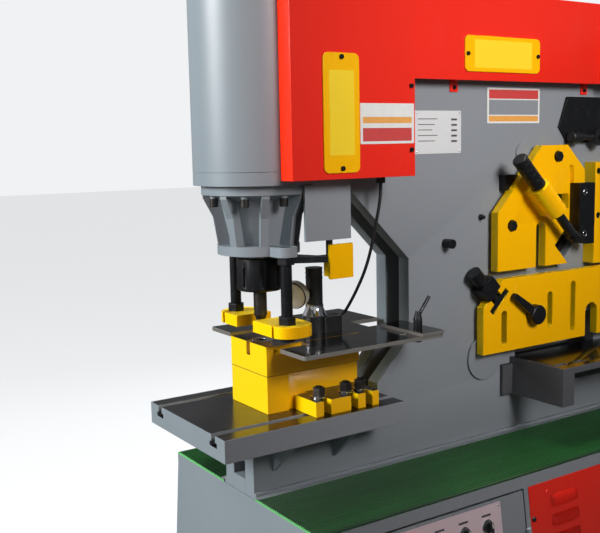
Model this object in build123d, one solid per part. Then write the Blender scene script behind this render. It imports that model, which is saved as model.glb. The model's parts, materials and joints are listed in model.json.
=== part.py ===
from build123d import *
import os
from math import atan, cos, degrees, hypot, radians, sin, sqrt, tan

# Hydraulic ironworker with a punching station at the left end, angle, bar and flat shears in the
# middle and a notching station at the right end. Millimetres. X runs along the machine with the
# punch at minus X, the operator stands at minus Y, Z is up and the floor is Z = 0.

os.makedirs("parts", exist_ok=True)

# Clearances shared by every fit
RUNNING_FIT = 0.05
SLIDE_GAP = 0.3
PANEL_GAP = 4.0

# Base cabinet: long faces lean out towards the floor
BASE_HALF_LENGTH = 785.0
BASE_TOP_Z = 675.0
BASE_LIP = 25.0
BASE_TOP_HALF = 338.0
BASE_FOOT_HALF = 425.0
BASE_SHEET = 6.0
BASE_DECK = 20.0
TANK_LEFT_X = 420.0
TANK_TOP_Z = 420.0
TANK_HALF_Y = 300.0
LUG_SIZE = 110.0
LUG_THICK = 20.0
LUG_HOLE_R = 11.0
LUG_REACH = 60.0

# Door, control plate and louvred panel on the leaning front face
DOOR_END_GAP = 20.0
DOOR_LEFT_X = DOOR_END_GAP - BASE_HALF_LENGTH
DOOR_RIGHT_X = -165.0
DOOR_LOW = 247.0
DOOR_HIGH = 650.0
DOOR_SHEET = 4.0
DOOR_FOLD = 22.0
HINGE_PIN_R = 4.0
HINGE_KNUCKLE_R = 6.5
HINGE_LENGTH = 60.0
HINGE_ROWS = (DOOR_LOW + HINGE_LENGTH, DOOR_HIGH - 160)
CONTROL_LEFT_X = -673.0
CONTROL_RIGHT_X = -250.0
CONTROL_LOW = 540.0
CONTROL_HIGH = 638.0
CONTROL_SHEET = 2.0
CONTROL_ROW = 588.0
CONTROL_HOLE_R = 11.3
START_X = -612.0
STOP_X = -532.0
SELECTOR_X = (-450.0, -375.0, -300.0)
LOCK_X = -668.0
LOCK_ROW = 470.0
VENT_LEFT_X = -150.0
VENT_RIGHT_X = 395.0
VENT_LOW = 60.0
VENT_SHEET = 2.0
LOUVRE_LENGTH = 104.0
LOUVRE_PITCH = 50.0
LOUVRE_COLUMNS = (-24.0, 250.0)
LOUVRE_FIRST = 585.0
LOUVRE_COUNT = 9
HANDLE_Y = -300.0
HANDLE_Z = 432.0

# Motor, pump and switch gear inside the cabinet
MOTOR_LEFT_X = -110.0
MOTOR_Z = 230.0
MOTOR_R = 95.0
VALVE_LEFT_X = 500.0
VALVE_LENGTH = 160.0
BOARD_END_GAP = 65.0
BOARD_LENGTH = 490.0
BOARD_LEFT_X = BOARD_END_GAP - BASE_HALF_LENGTH
BOARD_RIGHT_X = BOARD_LEFT_X + BOARD_LENGTH
BOARD_Y = 120.0
BOARD_LOW_Z = 120.0
BOARD_HIGH_Z = 560.0
CONTACTOR_WIDTH = 46.0
CONTACTOR_HIGH = 80.0

# Frame plates
FRAME_HALF = 67.5
PLATE_THICK = 40.0
FRAME_TOP_Z = 1860.0
JAW_LEFT_X = -782.0
JAW_TOP_Z = 826.0
THROAT_BACK_X = -304.0
THROAT_HIGH_Z = 1208.0
HEAD_UNDER_Z = 1393.0
HEAD_LEFT_X = -575.0
FRAME_RIGHT_X = 700.0
FRAME_SHOULDER = 220.0
END_BAR = 32.0
JAW_WINDOW_LOW_Z = 713.0
JAW_WINDOW_HIGH_Z = 757.0
FLOOR_BAR = 60.0
RIB_X = (-724.0, -547.0)
RIB_THICK = 12.0

# T-slotted table and die holder
TABLE_THICK = 53.0
TABLE_TOP_Z = JAW_TOP_Z + TABLE_THICK
TABLE_LEFT_X = -922.0
TABLE_RIGHT_X = -422.0
TABLE_HALF_Y = 190.0
JAW_RIGHT_X = TABLE_RIGHT_X + 12.0
THROAT_CHAMFER_Z = TABLE_TOP_Z + 16.0
SLOT_Y = 137.0
SLOT_NECK = 17.0
SLOT_HEAD = 34.0
SLOT_HEAD_HIGH = 11.0
SLOT_DEPTH = 27.5
SLUG_R = 34.0
DIE_LOWER_HIGH = 90.0
DIE_UPPER_HIGH = 71.0
DIE_SEAM_Z = TABLE_TOP_Z + DIE_LOWER_HIGH
DIE_TOP_Z = DIE_SEAM_Z + DIE_UPPER_HIGH
DIE_LEFT_X = -748.0
DIE_RIGHT_X = -480.0
DIE_STEP_X = -688.0
DIE_HALF_Y = 84.0
DIE_RECESS = 8.0
DIE_KEY_WIDTH = 17.0
DIE_KEY_DEEP = 32.0
FOOT_LEFT_X = -672.0
FOOT_RIGHT_X = -488.0
FOOT_REACH_Y = 173.0
FOOT_HIGH = 36.0
FOOT_SLOTS_X = (-639.0, -561.0, -518.0)
FOOT_SLOT_WIDTH = 20.0
FOOT_NECK = 34.0
FOOT_GAP = 9.0
STUD_R = 8.0
STUD_NUT = 27.0
STUD_NUT_HIGH = 20.0
WASHER_R = 17.0
DIE_BORE_R = 12.0
DIE_INSERT_R = 28.0
DIE_INSERT_HIGH = 40.0
DIE_SCREW_X = -723.0
DIE_SCREW_R = 6.5

# Punching station
PUNCH_X = -711.0
CYLINDER_R = 150.0
CYLINDER_BORE_R = 100.0
CYLINDER_LOW_Z = HEAD_UNDER_Z + 22.0
CYLINDER_TOP_Z = FRAME_TOP_Z
CAP_THICK = 22.0
ROD_R = 55.0
LANTERN_HIGH = 163.0
LANTERN_LOW_Z = CYLINDER_LOW_Z - LANTERN_HIGH
LANTERN_TOP_R = 132.0
LANTERN_LOW_R = 98.0
LANTERN_FLANGE = 22.0
LANTERN_WALL = 12.0
LANTERN_RIBS = 8
LANTERN_RIB = 18.0
NUT_R = 55.0
NUT_HIGH = 81.0
NUT_TOP_Z = LANTERN_LOW_Z - 8.0
NUT_LOW_Z = NUT_TOP_Z - NUT_HIGH
PUNCH_R = 16.0
PUNCH_TIP_Z = DIE_TOP_Z + 40.0
STRIPPER_Y = 119.0
STRIPPER_ROD_R = 13.0
ARM_LOW_Z = DIE_TOP_Z + 27.0
ARM_HIGH_Z = ARM_LOW_Z + 28.0
ARM_LEFT = 38.0
ARM_RIGHT = 60.0
ARM_REACH_Y = 160.0
ARM_SLIT = 8.0
FRONT_ARM_END_Y = -26.0
REAR_ARM_END_Y = 50.0

# Limit arm beside the coupling nut, with its rod and the yellow striker
LIMIT_ROD_X = -586.0
LIMIT_ROD_Y = -114.0
LIMIT_ROD_R = 8.0
LIMIT_ARM_HIGH = NUT_TOP_Z
LIMIT_ARM_LOW = LIMIT_ARM_HIGH - 14.0
STRIKER_LEFT_X = -600.0
STRIKER_RIGHT_X = -532.0
STRIKER_LOW_Z = 1190.0
STRIKER_HIGH_Z = 1272.0

# Work table round the die
WORK_LEFT_X = -731.0
WORK_RIGHT_X = -322.0
WORK_HALF_Y = 218.0
WORK_SHEET = 10.0
BAY_RIGHT_X = -650.0
BAY_HALF_Y = 118.0
NOTCH_GAP_X = -414.0
NOTCH_GAP_HALF = 40.0
FENCE_WIDTH = 71.0
FENCE_HIGH = 8.0
FENCE_TRAVEL = 50.0
CLAMP_X = -363.0
CLAMP_Y = -171.0

# Work lamp on the die holder
LAMP_POST_X = -551.0
LAMP_Y = 4.0
LAMP_POST_R = 21.0
LAMP_POST_HIGH = 160.0
LAMP_BASE_LEFT_X = -545.0
LAMP_BASE_RIGHT_X = -494.0
LAMP_BASE_FRONT_Y = -36.0
LAMP_BASE_BACK_Y = 40.0
LAMP_BASE_HIGH = 38.0
LAMP_PIN_Z = DIE_TOP_Z + 98.0
LAMP_HEAD_R = 34.0
LAMP_HEAD_X = LAMP_POST_X - 56.0
GLAND = (-488.0, -4.0, DIE_TOP_Z + 33.0)

# Covers
COVER_SHEET = 3.0
COVER_HEADROOM = 24.0
PUNCH_COVER_LEFT_X = -737.0
PUNCH_COVER_RIGHT_X = -390.0
PUNCH_COVER_FRONT_Y = -195.0
PUNCH_COVER_LOW_Z = CYLINDER_LOW_Z + 10.0
COVER_TOP_Z = FRAME_TOP_Z + COVER_HEADROOM
TOP_COVER_FRONT_Y = 110.0
SIDE_PLATE_TOP_Z = 1625.0
TOP_COVER_LOW_Z = SIDE_PLATE_TOP_Z + 35.0
TOP_COVER_RIGHT_X = 395.0
SHEAR_COVER_RIGHT_X = 690.0
SHEAR_COVER_HALF_Y = 140.0
COVER_TABS_X = (-150.0, 360.0)
BOX_LEFT_X = -666.0
BOX_RIGHT_X = -537.0
BOX_FRONT_Y = -135.0
BOX_BACK_Y = -72.0
BOX_LOW_Z = PUNCH_COVER_LOW_Z - 142.0
ACCESS_SHEET = 4.0
ACCESS_LEFT_X = -655.0
ACCESS_RIGHT_X = -556.0
ACCESS_HIGH = 264.0
TOP_ACCESS_LEFT_X = -152.0
TOP_ACCESS_RIGHT_X = 124.0
TOP_ACCESS_HIGH = 91.0

# Lamp cable
CABLE_RADIUS = 4.0
CABLE_START = (-435.0, -120.0, PUNCH_COVER_LOW_Z - 16.0)
CABLE_ROUTE = (
    CABLE_START, (-435.0, -120.0, 1380.0), (-441.0, -114.0, 1330.0), (-445.0, -100.5, 1268.0),
    (-451.5, -81.0, 1200.0), (-460.0, -52.0, 1141.0), (-466.0, -23.0, 1096.0), (-472.0, -7.0, GLAND[2]),
    GLAND)

# Rocker beam that carries the moving blades
PIVOT_X = -35.0
PIVOT_Z = 910.0
PIVOT_R = 40.0
PIVOT_CAP_R = 63.0
BEAM_BOSS_R = 112.0
BEAM_HALF = 25.0
BEAM_SWING_DEG = 6.0
BEAM_BACK = ((-95.0, 1010.0), (40.0, 1240.0), (120.0, 1395.0), (330.0, 1420.0), (400.0, 1290.0),
             (520.0, 1130.0), (600.0, 1110.0))
NOSE_HIGH_Z = 1190.0
NOSE_LOW_Z = 1075.0
BEAM_UNDER_Z = 962.0
BEAM_BELLY = ((60.0, 880.0), (25.0, 850.0))
STOP_X_POS = 110.0
STOP_Z = 1470.0
STOP_R = 22.0
RAM_X = 560.0
RAM_PIN_Z = 1000.0
RAM_PIN_R = 18.0
EYE_SLOT = 7.0
EYE_HALF = 32.0
EYE_HEAD_Z = 1155.0
SHEAR_ROD_R = 26.0
SHEAR_CYLINDER_R = 95.0
SHEAR_CYLINDER_BORE_R = 60.0
BAR_GUIDE_TOP_Z = 1437.0
SHEAR_CYLINDER_LOW_Z = BAR_GUIDE_TOP_Z + 43.0
NOTCH_X = 800.0
NOTCH_HALF = 30.0
NOTCH_PUNCH_LOW_Z = 920.0
NOTCH_TABLE_Z = 893.0
NOTCH_TABLE_THICK = 25.0
NOTCH_TABLE_RIGHT_X = 922.0
NOTCH_TABLE_HALF_Y = 160.0
NOTCH_DIE_HALF = 37.0

# Shear stations on the front face
GUIDE_FRONT_Y = -105.0
GUIDE_THICK = 25.0
STANDOFF_R = 16.0
ANGLE_X = 262.0
ANGLE_Z = 1206.0
ANGLE_WINDOW = 48.0
BAR_X = 237.0
BAR_Z = 1330.0
BAR_SIDE = 36.0
UPPER_OUTLINE = ((-21.0, 1150.0), (-21.0, 1311.0), (149.0, 1489.0), (254.0, 1489.0), (329.0, 1418.0),
                 (329.0, 1380.0), (283.0, 1380.0), (283.0, 1150.0))
UPPER_BOLTS = ((32.0, 1273.0), (214.0, 1457.0))
UPPER_BOLT_HEX = 26.0
UPPER_SLOT_X = 148.0
UPPER_SLOT_R = 19.0
UPPER_SLOT_TOP_Z = 1277.0
UPPER_GROOVE = (263.0, 283.0)
UPPER_GROOVE_TOP_Z = 1431.0
LOWER_OUTLINE = ((-73.0, 925.0), (-73.0, 1054.0), (1.0, 1128.0), (460.0, 1128.0), (460.0, 925.0))
LOWER_SLOTS = ((6.5, 943.0, 1040.0), (190.5, 971.0, 1074.0), (288.5, 949.0, 1095.0))
LOWER_SLOT_WIDTH = 21.0
LOWER_STANDOFFS = ((-44.0, 1000.0), (90.0, 960.0), (440.0, 985.0), (440.0, 1085.0))
ARCH_X = 371.0
ARCH_R = 26.5
ARCH_Z = 996.0
KNOB_X = 120.0
KNOB_Z = 1018.0
KNOB_R = 28.0
KNOB_ARM = 109.0
GIB_OUTLINE = ((283.0, 1236.0), (316.0, 1203.0), (349.0, 1203.0), (349.0, 1380.0), (283.0, 1380.0))
GIB_FRONT_Y = -127.0
GIB_SCREWS = ((305.0, 1354.0), (306.0, 1234.0))
BAR_GUIDE_OUTLINE = (
    (373.0, 1140.0), (373.0, BAR_GUIDE_TOP_Z), (500.0, BAR_GUIDE_TOP_Z), (540.0, 1400.0), (540.0, 1140.0))
BAR_GUIDE_FRONT_Y = -107.0
BAR_GUIDE_SCREW = (389.0, 1411.0)
BAR_GUIDE_CLAMP = (391.0, 1281.0)
FLAT_LEFT_X = 90.0
FLAT_RIGHT_X = 430.0
FLAT_SILL_Z = 850.0
FLAT_BLADE_Z = 896.0
FLAT_HEAD_Z = 990.0
BLADE_LEFT_Z = FLAT_BLADE_Z + 12.0
BLADE_RIGHT_Z = FLAT_BLADE_Z + 45.0
REAR_GAP_TOP_Z = FLAT_BLADE_Z + 54.0
SHEAR_TABLE_LEFT_X = 67.0
SHEAR_TABLE_RIGHT_X = 520.0
SHEAR_TABLE_FRONT_Y = -262.0
SHEAR_TABLE_THICK = 18.0
SHEAR_TABLE_WALL = 12.0
SHEAR_LEG = 45.0
SHEAR_FLANGE = 38.0
SHEAR_BRACKET_LOW = FLAT_BLADE_Z - 106.0
SHEAR_HOLES = ((103.0, -222.0), (170.0, -226.0))
BLADE_THICK = 18.0
BLADE_GAP = 0.2

# Hold-down screw: 45 degrees down to the right, in front of the guide plate
HOLD_Y = GUIDE_FRONT_Y - 42.0
HOLD_LINE_X = 146.7
HOLD_LINE_Z = 1321.7
HOLD_BOSS_START = -81.0
HOLD_BOSS_END = 21.0
HOLD_BOSS_R = 29.0
HOLD_SCREW_R = 13.0
HOLD_GRIP_START = -190.0
HOLD_GRIP_R = 21.0
HOLD_FOOT = 120.0

# T-slot square to the lower plate's bevel
CORNER_X = -36.0
CORNER_Z = 1091.0
CORNER_NECK = 36.0
CORNER_NECK_DEEP = 24.0
CORNER_HEAD = 84.0
CORNER_HEAD_DEEP = 18.0
CORNER_BLOCK = (57.0, 40.0, 45.0)
CORNER_KNOB_R = 20.0
CORNER_KNOB_END = 90.0

# Fittings on the front plate
PEG_X = -178.0
PEG_Z = 1238.0
NIPPLE_X = -51.0
NIPPLE_Z = 1300.0
SIDE_PLATE_OUTLINE = (
    (290.0, 1494.0), (252.0, 1540.0), (285.0, SIDE_PLATE_TOP_Z), (436.0, SIDE_PLATE_TOP_Z), (436.0, 1494.0))
SIDE_PLATE_THICK = 8.0
LEVER_X = 395.0
LEVER_Z = 1510.0
LEVER_LENGTH = 118.0


def block(x0, x1, y0, y1, z0, z1):
    centre = Pos((x0 + x1) / 2, (y0 + y1) / 2, (z0 + z1) / 2)
    return centre * Box(abs(x1 - x0), abs(y1 - y0), abs(z1 - z0))


def side_profile(points, y0, y1):
    """Plate with an outline in X and Z, between two Y planes."""
    outline = make_face(Polyline(*points, close=True))
    return extrude(Plane.XZ.offset(-max(y0, y1)) * outline, amount=abs(y1 - y0))


def plan_profile(points, z0, z1):
    outline = make_face(Polyline(*points, close=True))
    return extrude(Plane.XY.offset(min(z0, z1)) * outline, amount=abs(z1 - z0))


def end_profile(points, x0, x1):
    outline = make_face(Polyline(*points, close=True))
    return extrude(Plane.YZ.offset(min(x0, x1)) * outline, amount=abs(x1 - x0))


def rod_x(radius, x0, x1, y, z):
    return Pos((x0 + x1) / 2, y, z) * Rot(0, 90, 0) * Cylinder(radius, abs(x1 - x0))


def rod_y(radius, x, y0, y1, z):
    return Pos(x, (y0 + y1) / 2, z) * Rot(90, 0, 0) * Cylinder(radius, abs(y1 - y0))


def rod_z(radius, x, y, z0, z1):
    return Pos(x, y, (z0 + z1) / 2) * Cylinder(radius, abs(z1 - z0))


def hex_z(across_flats, x, y, z0, z1):
    outline = RegularPolygon(across_flats / sqrt(3), 6)
    return Pos(x, y, min(z0, z1)) * extrude(outline, amount=abs(z1 - z0))


def hex_y(across_flats, x, z, y0, y1):
    outline = RegularPolygon(across_flats / sqrt(3), 6)
    return Pos(x, max(y0, y1), z) * Rot(90, 0, 0) * extrude(outline, amount=abs(y1 - y0))


def diamond(x, z, half, y0, y1):
    """Square bar along Y, standing on its corner."""
    return side_profile(((x - half, z), (x, z - half), (x + half, z), (x, z + half)), y0, y1)


def upright_slot(x, z0, z1, width, y0, y1):
    """Slot with round ends, cut along Y."""
    r = width / 2
    return (block(x - r, x + r, y0, y1, z0 + r, z1 - r) + rod_y(r, x, y0, y1, z0 + r)
            + rod_y(r, x, y0, y1, z1 - r))


# Leaning front face: X along the machine, second axis up the slope, third out of the face
LEAN = BASE_FOOT_HALF - BASE_TOP_HALF
SLOPE_HIGH = BASE_TOP_Z - BASE_LIP
SLOPE_LENGTH = hypot(LEAN, SLOPE_HIGH)
LEAN_SIN = LEAN / SLOPE_LENGTH
LEAN_COS = SLOPE_HIGH / SLOPE_LENGTH
FACE = Plane(origin=(0, -BASE_FOOT_HALF, 0), x_dir=(1, 0, 0), z_dir=(0, -LEAN_COS, LEAN_SIN))


def on_face(shape):
    return FACE.location * shape


def cabinet_outline(inset, lift):
    """Cross-section of the cabinet, set in by the sheet."""
    side = inset / LEAN_COS
    top = BASE_TOP_Z - (BASE_DECK if inset else 0)
    return ((-BASE_FOOT_HALF + side + lift * LEAN / SLOPE_HIGH, lift),
            (BASE_FOOT_HALF - side - lift * LEAN / SLOPE_HIGH, lift),
            (BASE_TOP_HALF - side, SLOPE_HIGH), (BASE_TOP_HALF - side, top),
            (-BASE_TOP_HALF + side, top), (-BASE_TOP_HALF + side, SLOPE_HIGH))


def door_knuckle(y0, y1):
    """Hinge knuckle beside the door's right edge, in the plane of the leaning face."""
    x = DOOR_RIGHT_X - PANEL_GAP / 2
    place = Pos(x, (y0 + y1) / 2, HINGE_KNUCKLE_R) * Rot(90, 0, 0)
    return place * Cylinder(HINGE_KNUCKLE_R, y1 - y0), place * Cylinder(HINGE_PIN_R, y1 - y0)


def base_cabinet():
    shell = end_profile(cabinet_outline(0, 0), -BASE_HALF_LENGTH, BASE_HALF_LENGTH)
    inner = BASE_HALF_LENGTH - BASE_SHEET
    cavity = end_profile(cabinet_outline(BASE_SHEET, BASE_SHEET), -inner, inner)
    shell -= cavity
    tank_shell = block(TANK_LEFT_X, inner, -TANK_HALF_Y, TANK_HALF_Y, BASE_SHEET, TANK_TOP_Z)
    tank_room = block(TANK_LEFT_X + BASE_SHEET, inner, -TANK_HALF_Y + BASE_SHEET, TANK_HALF_Y - BASE_SHEET,
                      2 * BASE_SHEET, TANK_TOP_Z - BASE_SHEET)
    shell += tank_shell - tank_room
    door_hole = block(DOOR_LEFT_X, DOOR_RIGHT_X, DOOR_LOW, DOOR_HIGH, -30, 30)
    vent_hole = block(VENT_LEFT_X + 15, VENT_RIGHT_X - 15, VENT_LOW + 15, DOOR_HIGH - 15, -30, 30)
    shell -= on_face(door_hole)
    shell -= on_face(vent_hole)
    for x in (-1, 1):
        for y in (-1, 1):
            edge = x * BASE_HALF_LENGTH
            lug = block(edge, edge + x * LUG_REACH, y * (BASE_FOOT_HALF - LUG_SIZE), y * BASE_FOOT_HALF,
                        0, LUG_THICK)
            hole = rod_z(LUG_HOLE_R, edge + x * LUG_REACH / 2, y * (BASE_FOOT_HALF - LUG_SIZE / 2),
                         0, LUG_THICK)
            shell += lug - hole
    for row in HINGE_ROWS:
        for low in (row, row + 2 * HINGE_LENGTH / 3):
            knuckle, bore = door_knuckle(low + 0.5, low + HINGE_LENGTH / 3 - 0.5)
            web = block(DOOR_RIGHT_X - PANEL_GAP / 2, DOOR_RIGHT_X + 12, low + 0.5,
                        low + HINGE_LENGTH / 3 - 0.5, -2, 4)
            shell += on_face(knuckle + web)
        x = DOOR_RIGHT_X - PANEL_GAP / 2
        pin = (Pos(x, row + HINGE_LENGTH / 2, HINGE_KNUCKLE_R) * Rot(90, 0, 0)
               * Cylinder(HINGE_PIN_R, HINGE_LENGTH))
        shell += on_face(pin)
    return shell


def cabinet_door():
    left = DOOR_LEFT_X + PANEL_GAP
    right = DOOR_RIGHT_X - PANEL_GAP
    low = DOOR_LOW + PANEL_GAP
    high = DOOR_HIGH - PANEL_GAP
    leaf = block(left, right, low, high, -DOOR_SHEET, 0)
    fold = block(left, left + DOOR_SHEET, low, high, -DOOR_FOLD, -DOOR_SHEET)
    fold += block(left, right - 20, low, low + DOOR_SHEET, -DOOR_FOLD, -DOOR_SHEET)
    leaf += fold
    for x in (START_X, STOP_X) + SELECTOR_X:
        leaf -= Pos(x, CONTROL_ROW, 0) * Cylinder(CONTROL_HOLE_R, 20)
    leaf -= Pos(LOCK_X, LOCK_ROW, 0) * Cylinder(10 + SLIDE_GAP, 20)
    for row in HINGE_ROWS:
        low_end = row + HINGE_LENGTH / 3
        high_end = row + 2 * HINGE_LENGTH / 3
        knuckle, bore = door_knuckle(low_end, high_end)
        x = DOOR_RIGHT_X - PANEL_GAP / 2
        web = block(right - 12, x, low_end, high_end, 0, 4)
        clear = (Pos(x, (low_end + high_end) / 2, HINGE_KNUCKLE_R) * Rot(90, 0, 0)
                 * Cylinder(HINGE_PIN_R + RUNNING_FIT, HINGE_LENGTH))
        leaf += (knuckle + web) - clear
        leaf -= clear
    return on_face(leaf)


def control_plate():
    plate = block(CONTROL_LEFT_X, CONTROL_RIGHT_X, CONTROL_LOW, CONTROL_HIGH, 0, CONTROL_SHEET)
    for x in (START_X, STOP_X) + SELECTOR_X:
        plate -= Pos(x, CONTROL_ROW, 0) * Cylinder(CONTROL_HOLE_R, 20)
    lamp = Pos(STOP_X, CONTROL_ROW + 34, CONTROL_SHEET + 3) * Cylinder(8, 6)
    dome = Pos(STOP_X, CONTROL_ROW + 34, CONTROL_SHEET + 6) * Sphere(6)
    plate += lamp + dome
    return on_face(plate)


def push_button(x, stem_r, head_r, head_low, head_high):
    stem = Pos(x, CONTROL_ROW, (head_low - 24) / 2) * Cylinder(stem_r, head_low + 24)
    head = Pos(x, CONTROL_ROW, (head_low + head_high) / 2) * Cylinder(head_r, head_high - head_low)
    head = fillet(head.edges().group_by(Axis.Z)[-1], (head_high - head_low) * 0.3)
    return on_face(stem + head)


def selector(x):
    disc = Pos(x, CONTROL_ROW, CONTROL_SHEET + 5) * Cylinder(14, 8)
    stem = Pos(x, CONTROL_ROW, -9) * Cylinder(11, 26)
    wing = block(x - 4, x + 4, CONTROL_ROW - 13, CONTROL_ROW + 13, CONTROL_SHEET + 8, CONTROL_SHEET + 20)
    wing = fillet(wing.edges().filter_by(Axis.Z), 3)
    return on_face(disc + stem + wing)


def door_key():
    barrel = Pos(LOCK_X, LOCK_ROW, -8) * Cylinder(10, 24)
    rim = Pos(LOCK_X, LOCK_ROW, 3 + SLIDE_GAP) * Cylinder(14, 6)
    cam = block(LOCK_X - 36, LOCK_X + 8, LOCK_ROW - 8, LOCK_ROW + 8, -24, -20)
    blade = block(LOCK_X - 1.5, LOCK_X + 1.5, LOCK_ROW - 5, LOCK_ROW + 5, 4, 24)
    bow = Pos(LOCK_X, LOCK_ROW, 34) * Rot(0, 90, 0) * (Cylinder(12, 3) - Cylinder(4, 4))
    return on_face(barrel + rim + cam + blade + bow)


def end_handle():
    """Lever on the left end face, on a square plate with a round rose."""
    x = -BASE_HALF_LENGTH
    rose = rod_x(16, x - 12 - SLIDE_GAP, x - SLIDE_GAP, HANDLE_Y, HANDLE_Z)
    neck = rod_x(9, x - 34, x - 10, HANDLE_Y, HANDLE_Z)
    lever = Pos(x - 34, HANDLE_Y + 38, HANDLE_Z + 2) * Box(14, 96, 18)
    lever = fillet(lever.edges(), 5)
    return rose + neck + lever


def vent_panel():
    panel = block(VENT_LEFT_X, VENT_RIGHT_X, VENT_LOW, DOOR_HIGH, 0, VENT_SHEET)
    for x in LOUVRE_COLUMNS:
        for n in range(LOUVRE_COUNT):
            y = LOUVRE_FIRST - n * LOUVRE_PITCH
            half = LOUVRE_LENGTH / 2
            slot = block(x - half + 2, x + half - 2, y + 1, y + 12, -1, VENT_SHEET + 1)
            hood = Pos(x - half, y, VENT_SHEET) * extrude(
                Plane.YZ * make_face(Polyline((0, 0), (0, 11), (2, 11), (17, 2), (17, 0), close=True)),
                amount=LOUVRE_LENGTH)
            hollow = Pos(x - half + 2, y, VENT_SHEET) * extrude(
                Plane.YZ * make_face(Polyline((-1, -1), (-1, 9), (1.5, 9), (13, 1.5), (13, -1), close=True)),
                amount=LOUVRE_LENGTH - 4)
            panel = panel - slot + (hood - hollow)
    return on_face(panel)


def pump_motor():
    """Finned electric motor, bell housing and gear pump on one axis."""
    x0 = MOTOR_LEFT_X
    z = MOTOR_Z
    r = MOTOR_R
    body = rod_x(r, x0, x0 + 260, 0, z)
    for n in range(10):
        fin = block(x0 + 20, x0 + 240, -2.5, 2.5, r - 1, r + 11)
        body += Pos(0, 0, z) * Rot(n * 36, 0, 0) * fin
    body += rod_x(r + 7, x0 - 60, x0, 0, z)
    body += block(x0 + 30, x0 + 230, -r - 5, r + 5, BASE_SHEET, BASE_SHEET + 14)
    body += block(x0 + 40, x0 + 220, -60, -44, BASE_SHEET, z - 60)
    body += block(x0 + 40, x0 + 220, 44, 60, BASE_SHEET, z - 60)
    body += block(x0 + 80, x0 + 180, -r - 45, -r + 15, z - 45, z + 45)
    body += rod_x(r - 20, x0 + 260, x0 + 340, 0, z)
    body += block(x0 + 340, x0 + 430, -45, 45, z - 55, z + 55)
    return body


def valve_block():
    z = TANK_TOP_Z
    left = VALVE_LEFT_X
    right = VALVE_LEFT_X + VALVE_LENGTH
    body = block(left, right, -60, 60, z, z + 90)
    for x in (left + 40, right - 40):
        body += rod_y(24, x, -150, -60, z + 45)
        body += rod_y(24, x, 60, 150, z + 45)
        body += block(x - 26, x + 26, -40, 40, z + 90, z + 130)
    return body


def electrical_panel():
    """Back board with contactors and a transformer, behind the door."""
    left, right, y = BOARD_LEFT_X, BOARD_RIGHT_X, BOARD_Y
    board = block(left, right, y, y + 4, BOARD_LOW_Z, BOARD_HIGH_Z)
    board += block(left, left + 20, y + 4, y + 60, BASE_SHEET, BOARD_HIGH_Z)
    board += block(right - 20, right, y + 4, y + 60, BASE_SHEET, BOARD_HIGH_Z)
    pitch = CONTACTOR_WIDTH + 16
    top = BOARD_HIGH_Z - 60
    for n in range(5):
        x = left + 40 + n * pitch
        board += block(x, x + CONTACTOR_WIDTH, y - 70, y, top - CONTACTOR_HIGH, top)
    board += block(left + 40, left + 120, y - 80, y, BOARD_LOW_Z + 60, BOARD_LOW_Z + 150)
    board += block(left + 160, right - 50, y - 30, y, BOARD_LOW_Z + 210, BOARD_LOW_Z + 230)
    return board


def frame_outline():
    """Side view of a frame plate: jaw, throat, head, and the recess of the shear cylinder."""
    pocket = SHEAR_CYLINDER_R + 10
    chamfer_top = THROAT_CHAMFER_Z + THROAT_BACK_X - JAW_RIGHT_X
    shoulder = FRAME_TOP_Z - FRAME_SHOULDER
    return (
        (JAW_LEFT_X, BASE_TOP_Z), (FRAME_RIGHT_X, BASE_TOP_Z), (FRAME_RIGHT_X, shoulder),
        (FRAME_RIGHT_X - 20, shoulder + 20), (FRAME_RIGHT_X - 20, FRAME_TOP_Z),
        (RAM_X + pocket, FRAME_TOP_Z), (RAM_X + pocket, SHEAR_CYLINDER_LOW_Z),
        (RAM_X - pocket, SHEAR_CYLINDER_LOW_Z), (RAM_X - pocket, FRAME_TOP_Z),
        (HEAD_LEFT_X, FRAME_TOP_Z), (HEAD_LEFT_X, HEAD_UNDER_Z),
        (THROAT_BACK_X - (HEAD_UNDER_Z - THROAT_HIGH_Z), HEAD_UNDER_Z), (THROAT_BACK_X, THROAT_HIGH_Z),
        (THROAT_BACK_X, chamfer_top), (JAW_RIGHT_X, THROAT_CHAMFER_Z),
        (JAW_RIGHT_X, JAW_TOP_Z), (JAW_LEFT_X, JAW_TOP_Z))


def frame_plate(front):
    y_out = -FRAME_HALF if front else FRAME_HALF
    y_in = -FRAME_HALF + PLATE_THICK if front else FRAME_HALF - PLATE_THICK
    y0, y1 = min(y_out, y_in), max(y_out, y_in)
    plate = side_profile(frame_outline(), y0, y1)
    plate -= rod_z(CYLINDER_R + SLIDE_GAP, PUNCH_X, 0, HEAD_UNDER_Z - 10, FRAME_TOP_Z + 10)
    window = ANGLE_WINDOW + (24 if front else 10)
    plate -= diamond(ANGLE_X, ANGLE_Z, window, y0 - 1, y1 + 1)
    plate -= rod_y(38 if front else 30, BAR_X, y0 - 1, y1 + 1, BAR_Z)
    sill = FLAT_SILL_Z if front else FLAT_BLADE_Z - 2
    head = FLAT_HEAD_Z if front else REAR_GAP_TOP_Z
    plate -= block(FLAT_LEFT_X, FLAT_RIGHT_X, y0 - 1, y1 + 1, sill, head)
    plate -= rod_y(PIVOT_R + RUNNING_FIT, PIVOT_X, y0 - 1, y1 + 1, PIVOT_Z)
    plate -= rod_y(STOP_R + RUNNING_FIT, STOP_X_POS, y0 - 1, y1 + 1, STOP_Z)
    return plate


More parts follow.
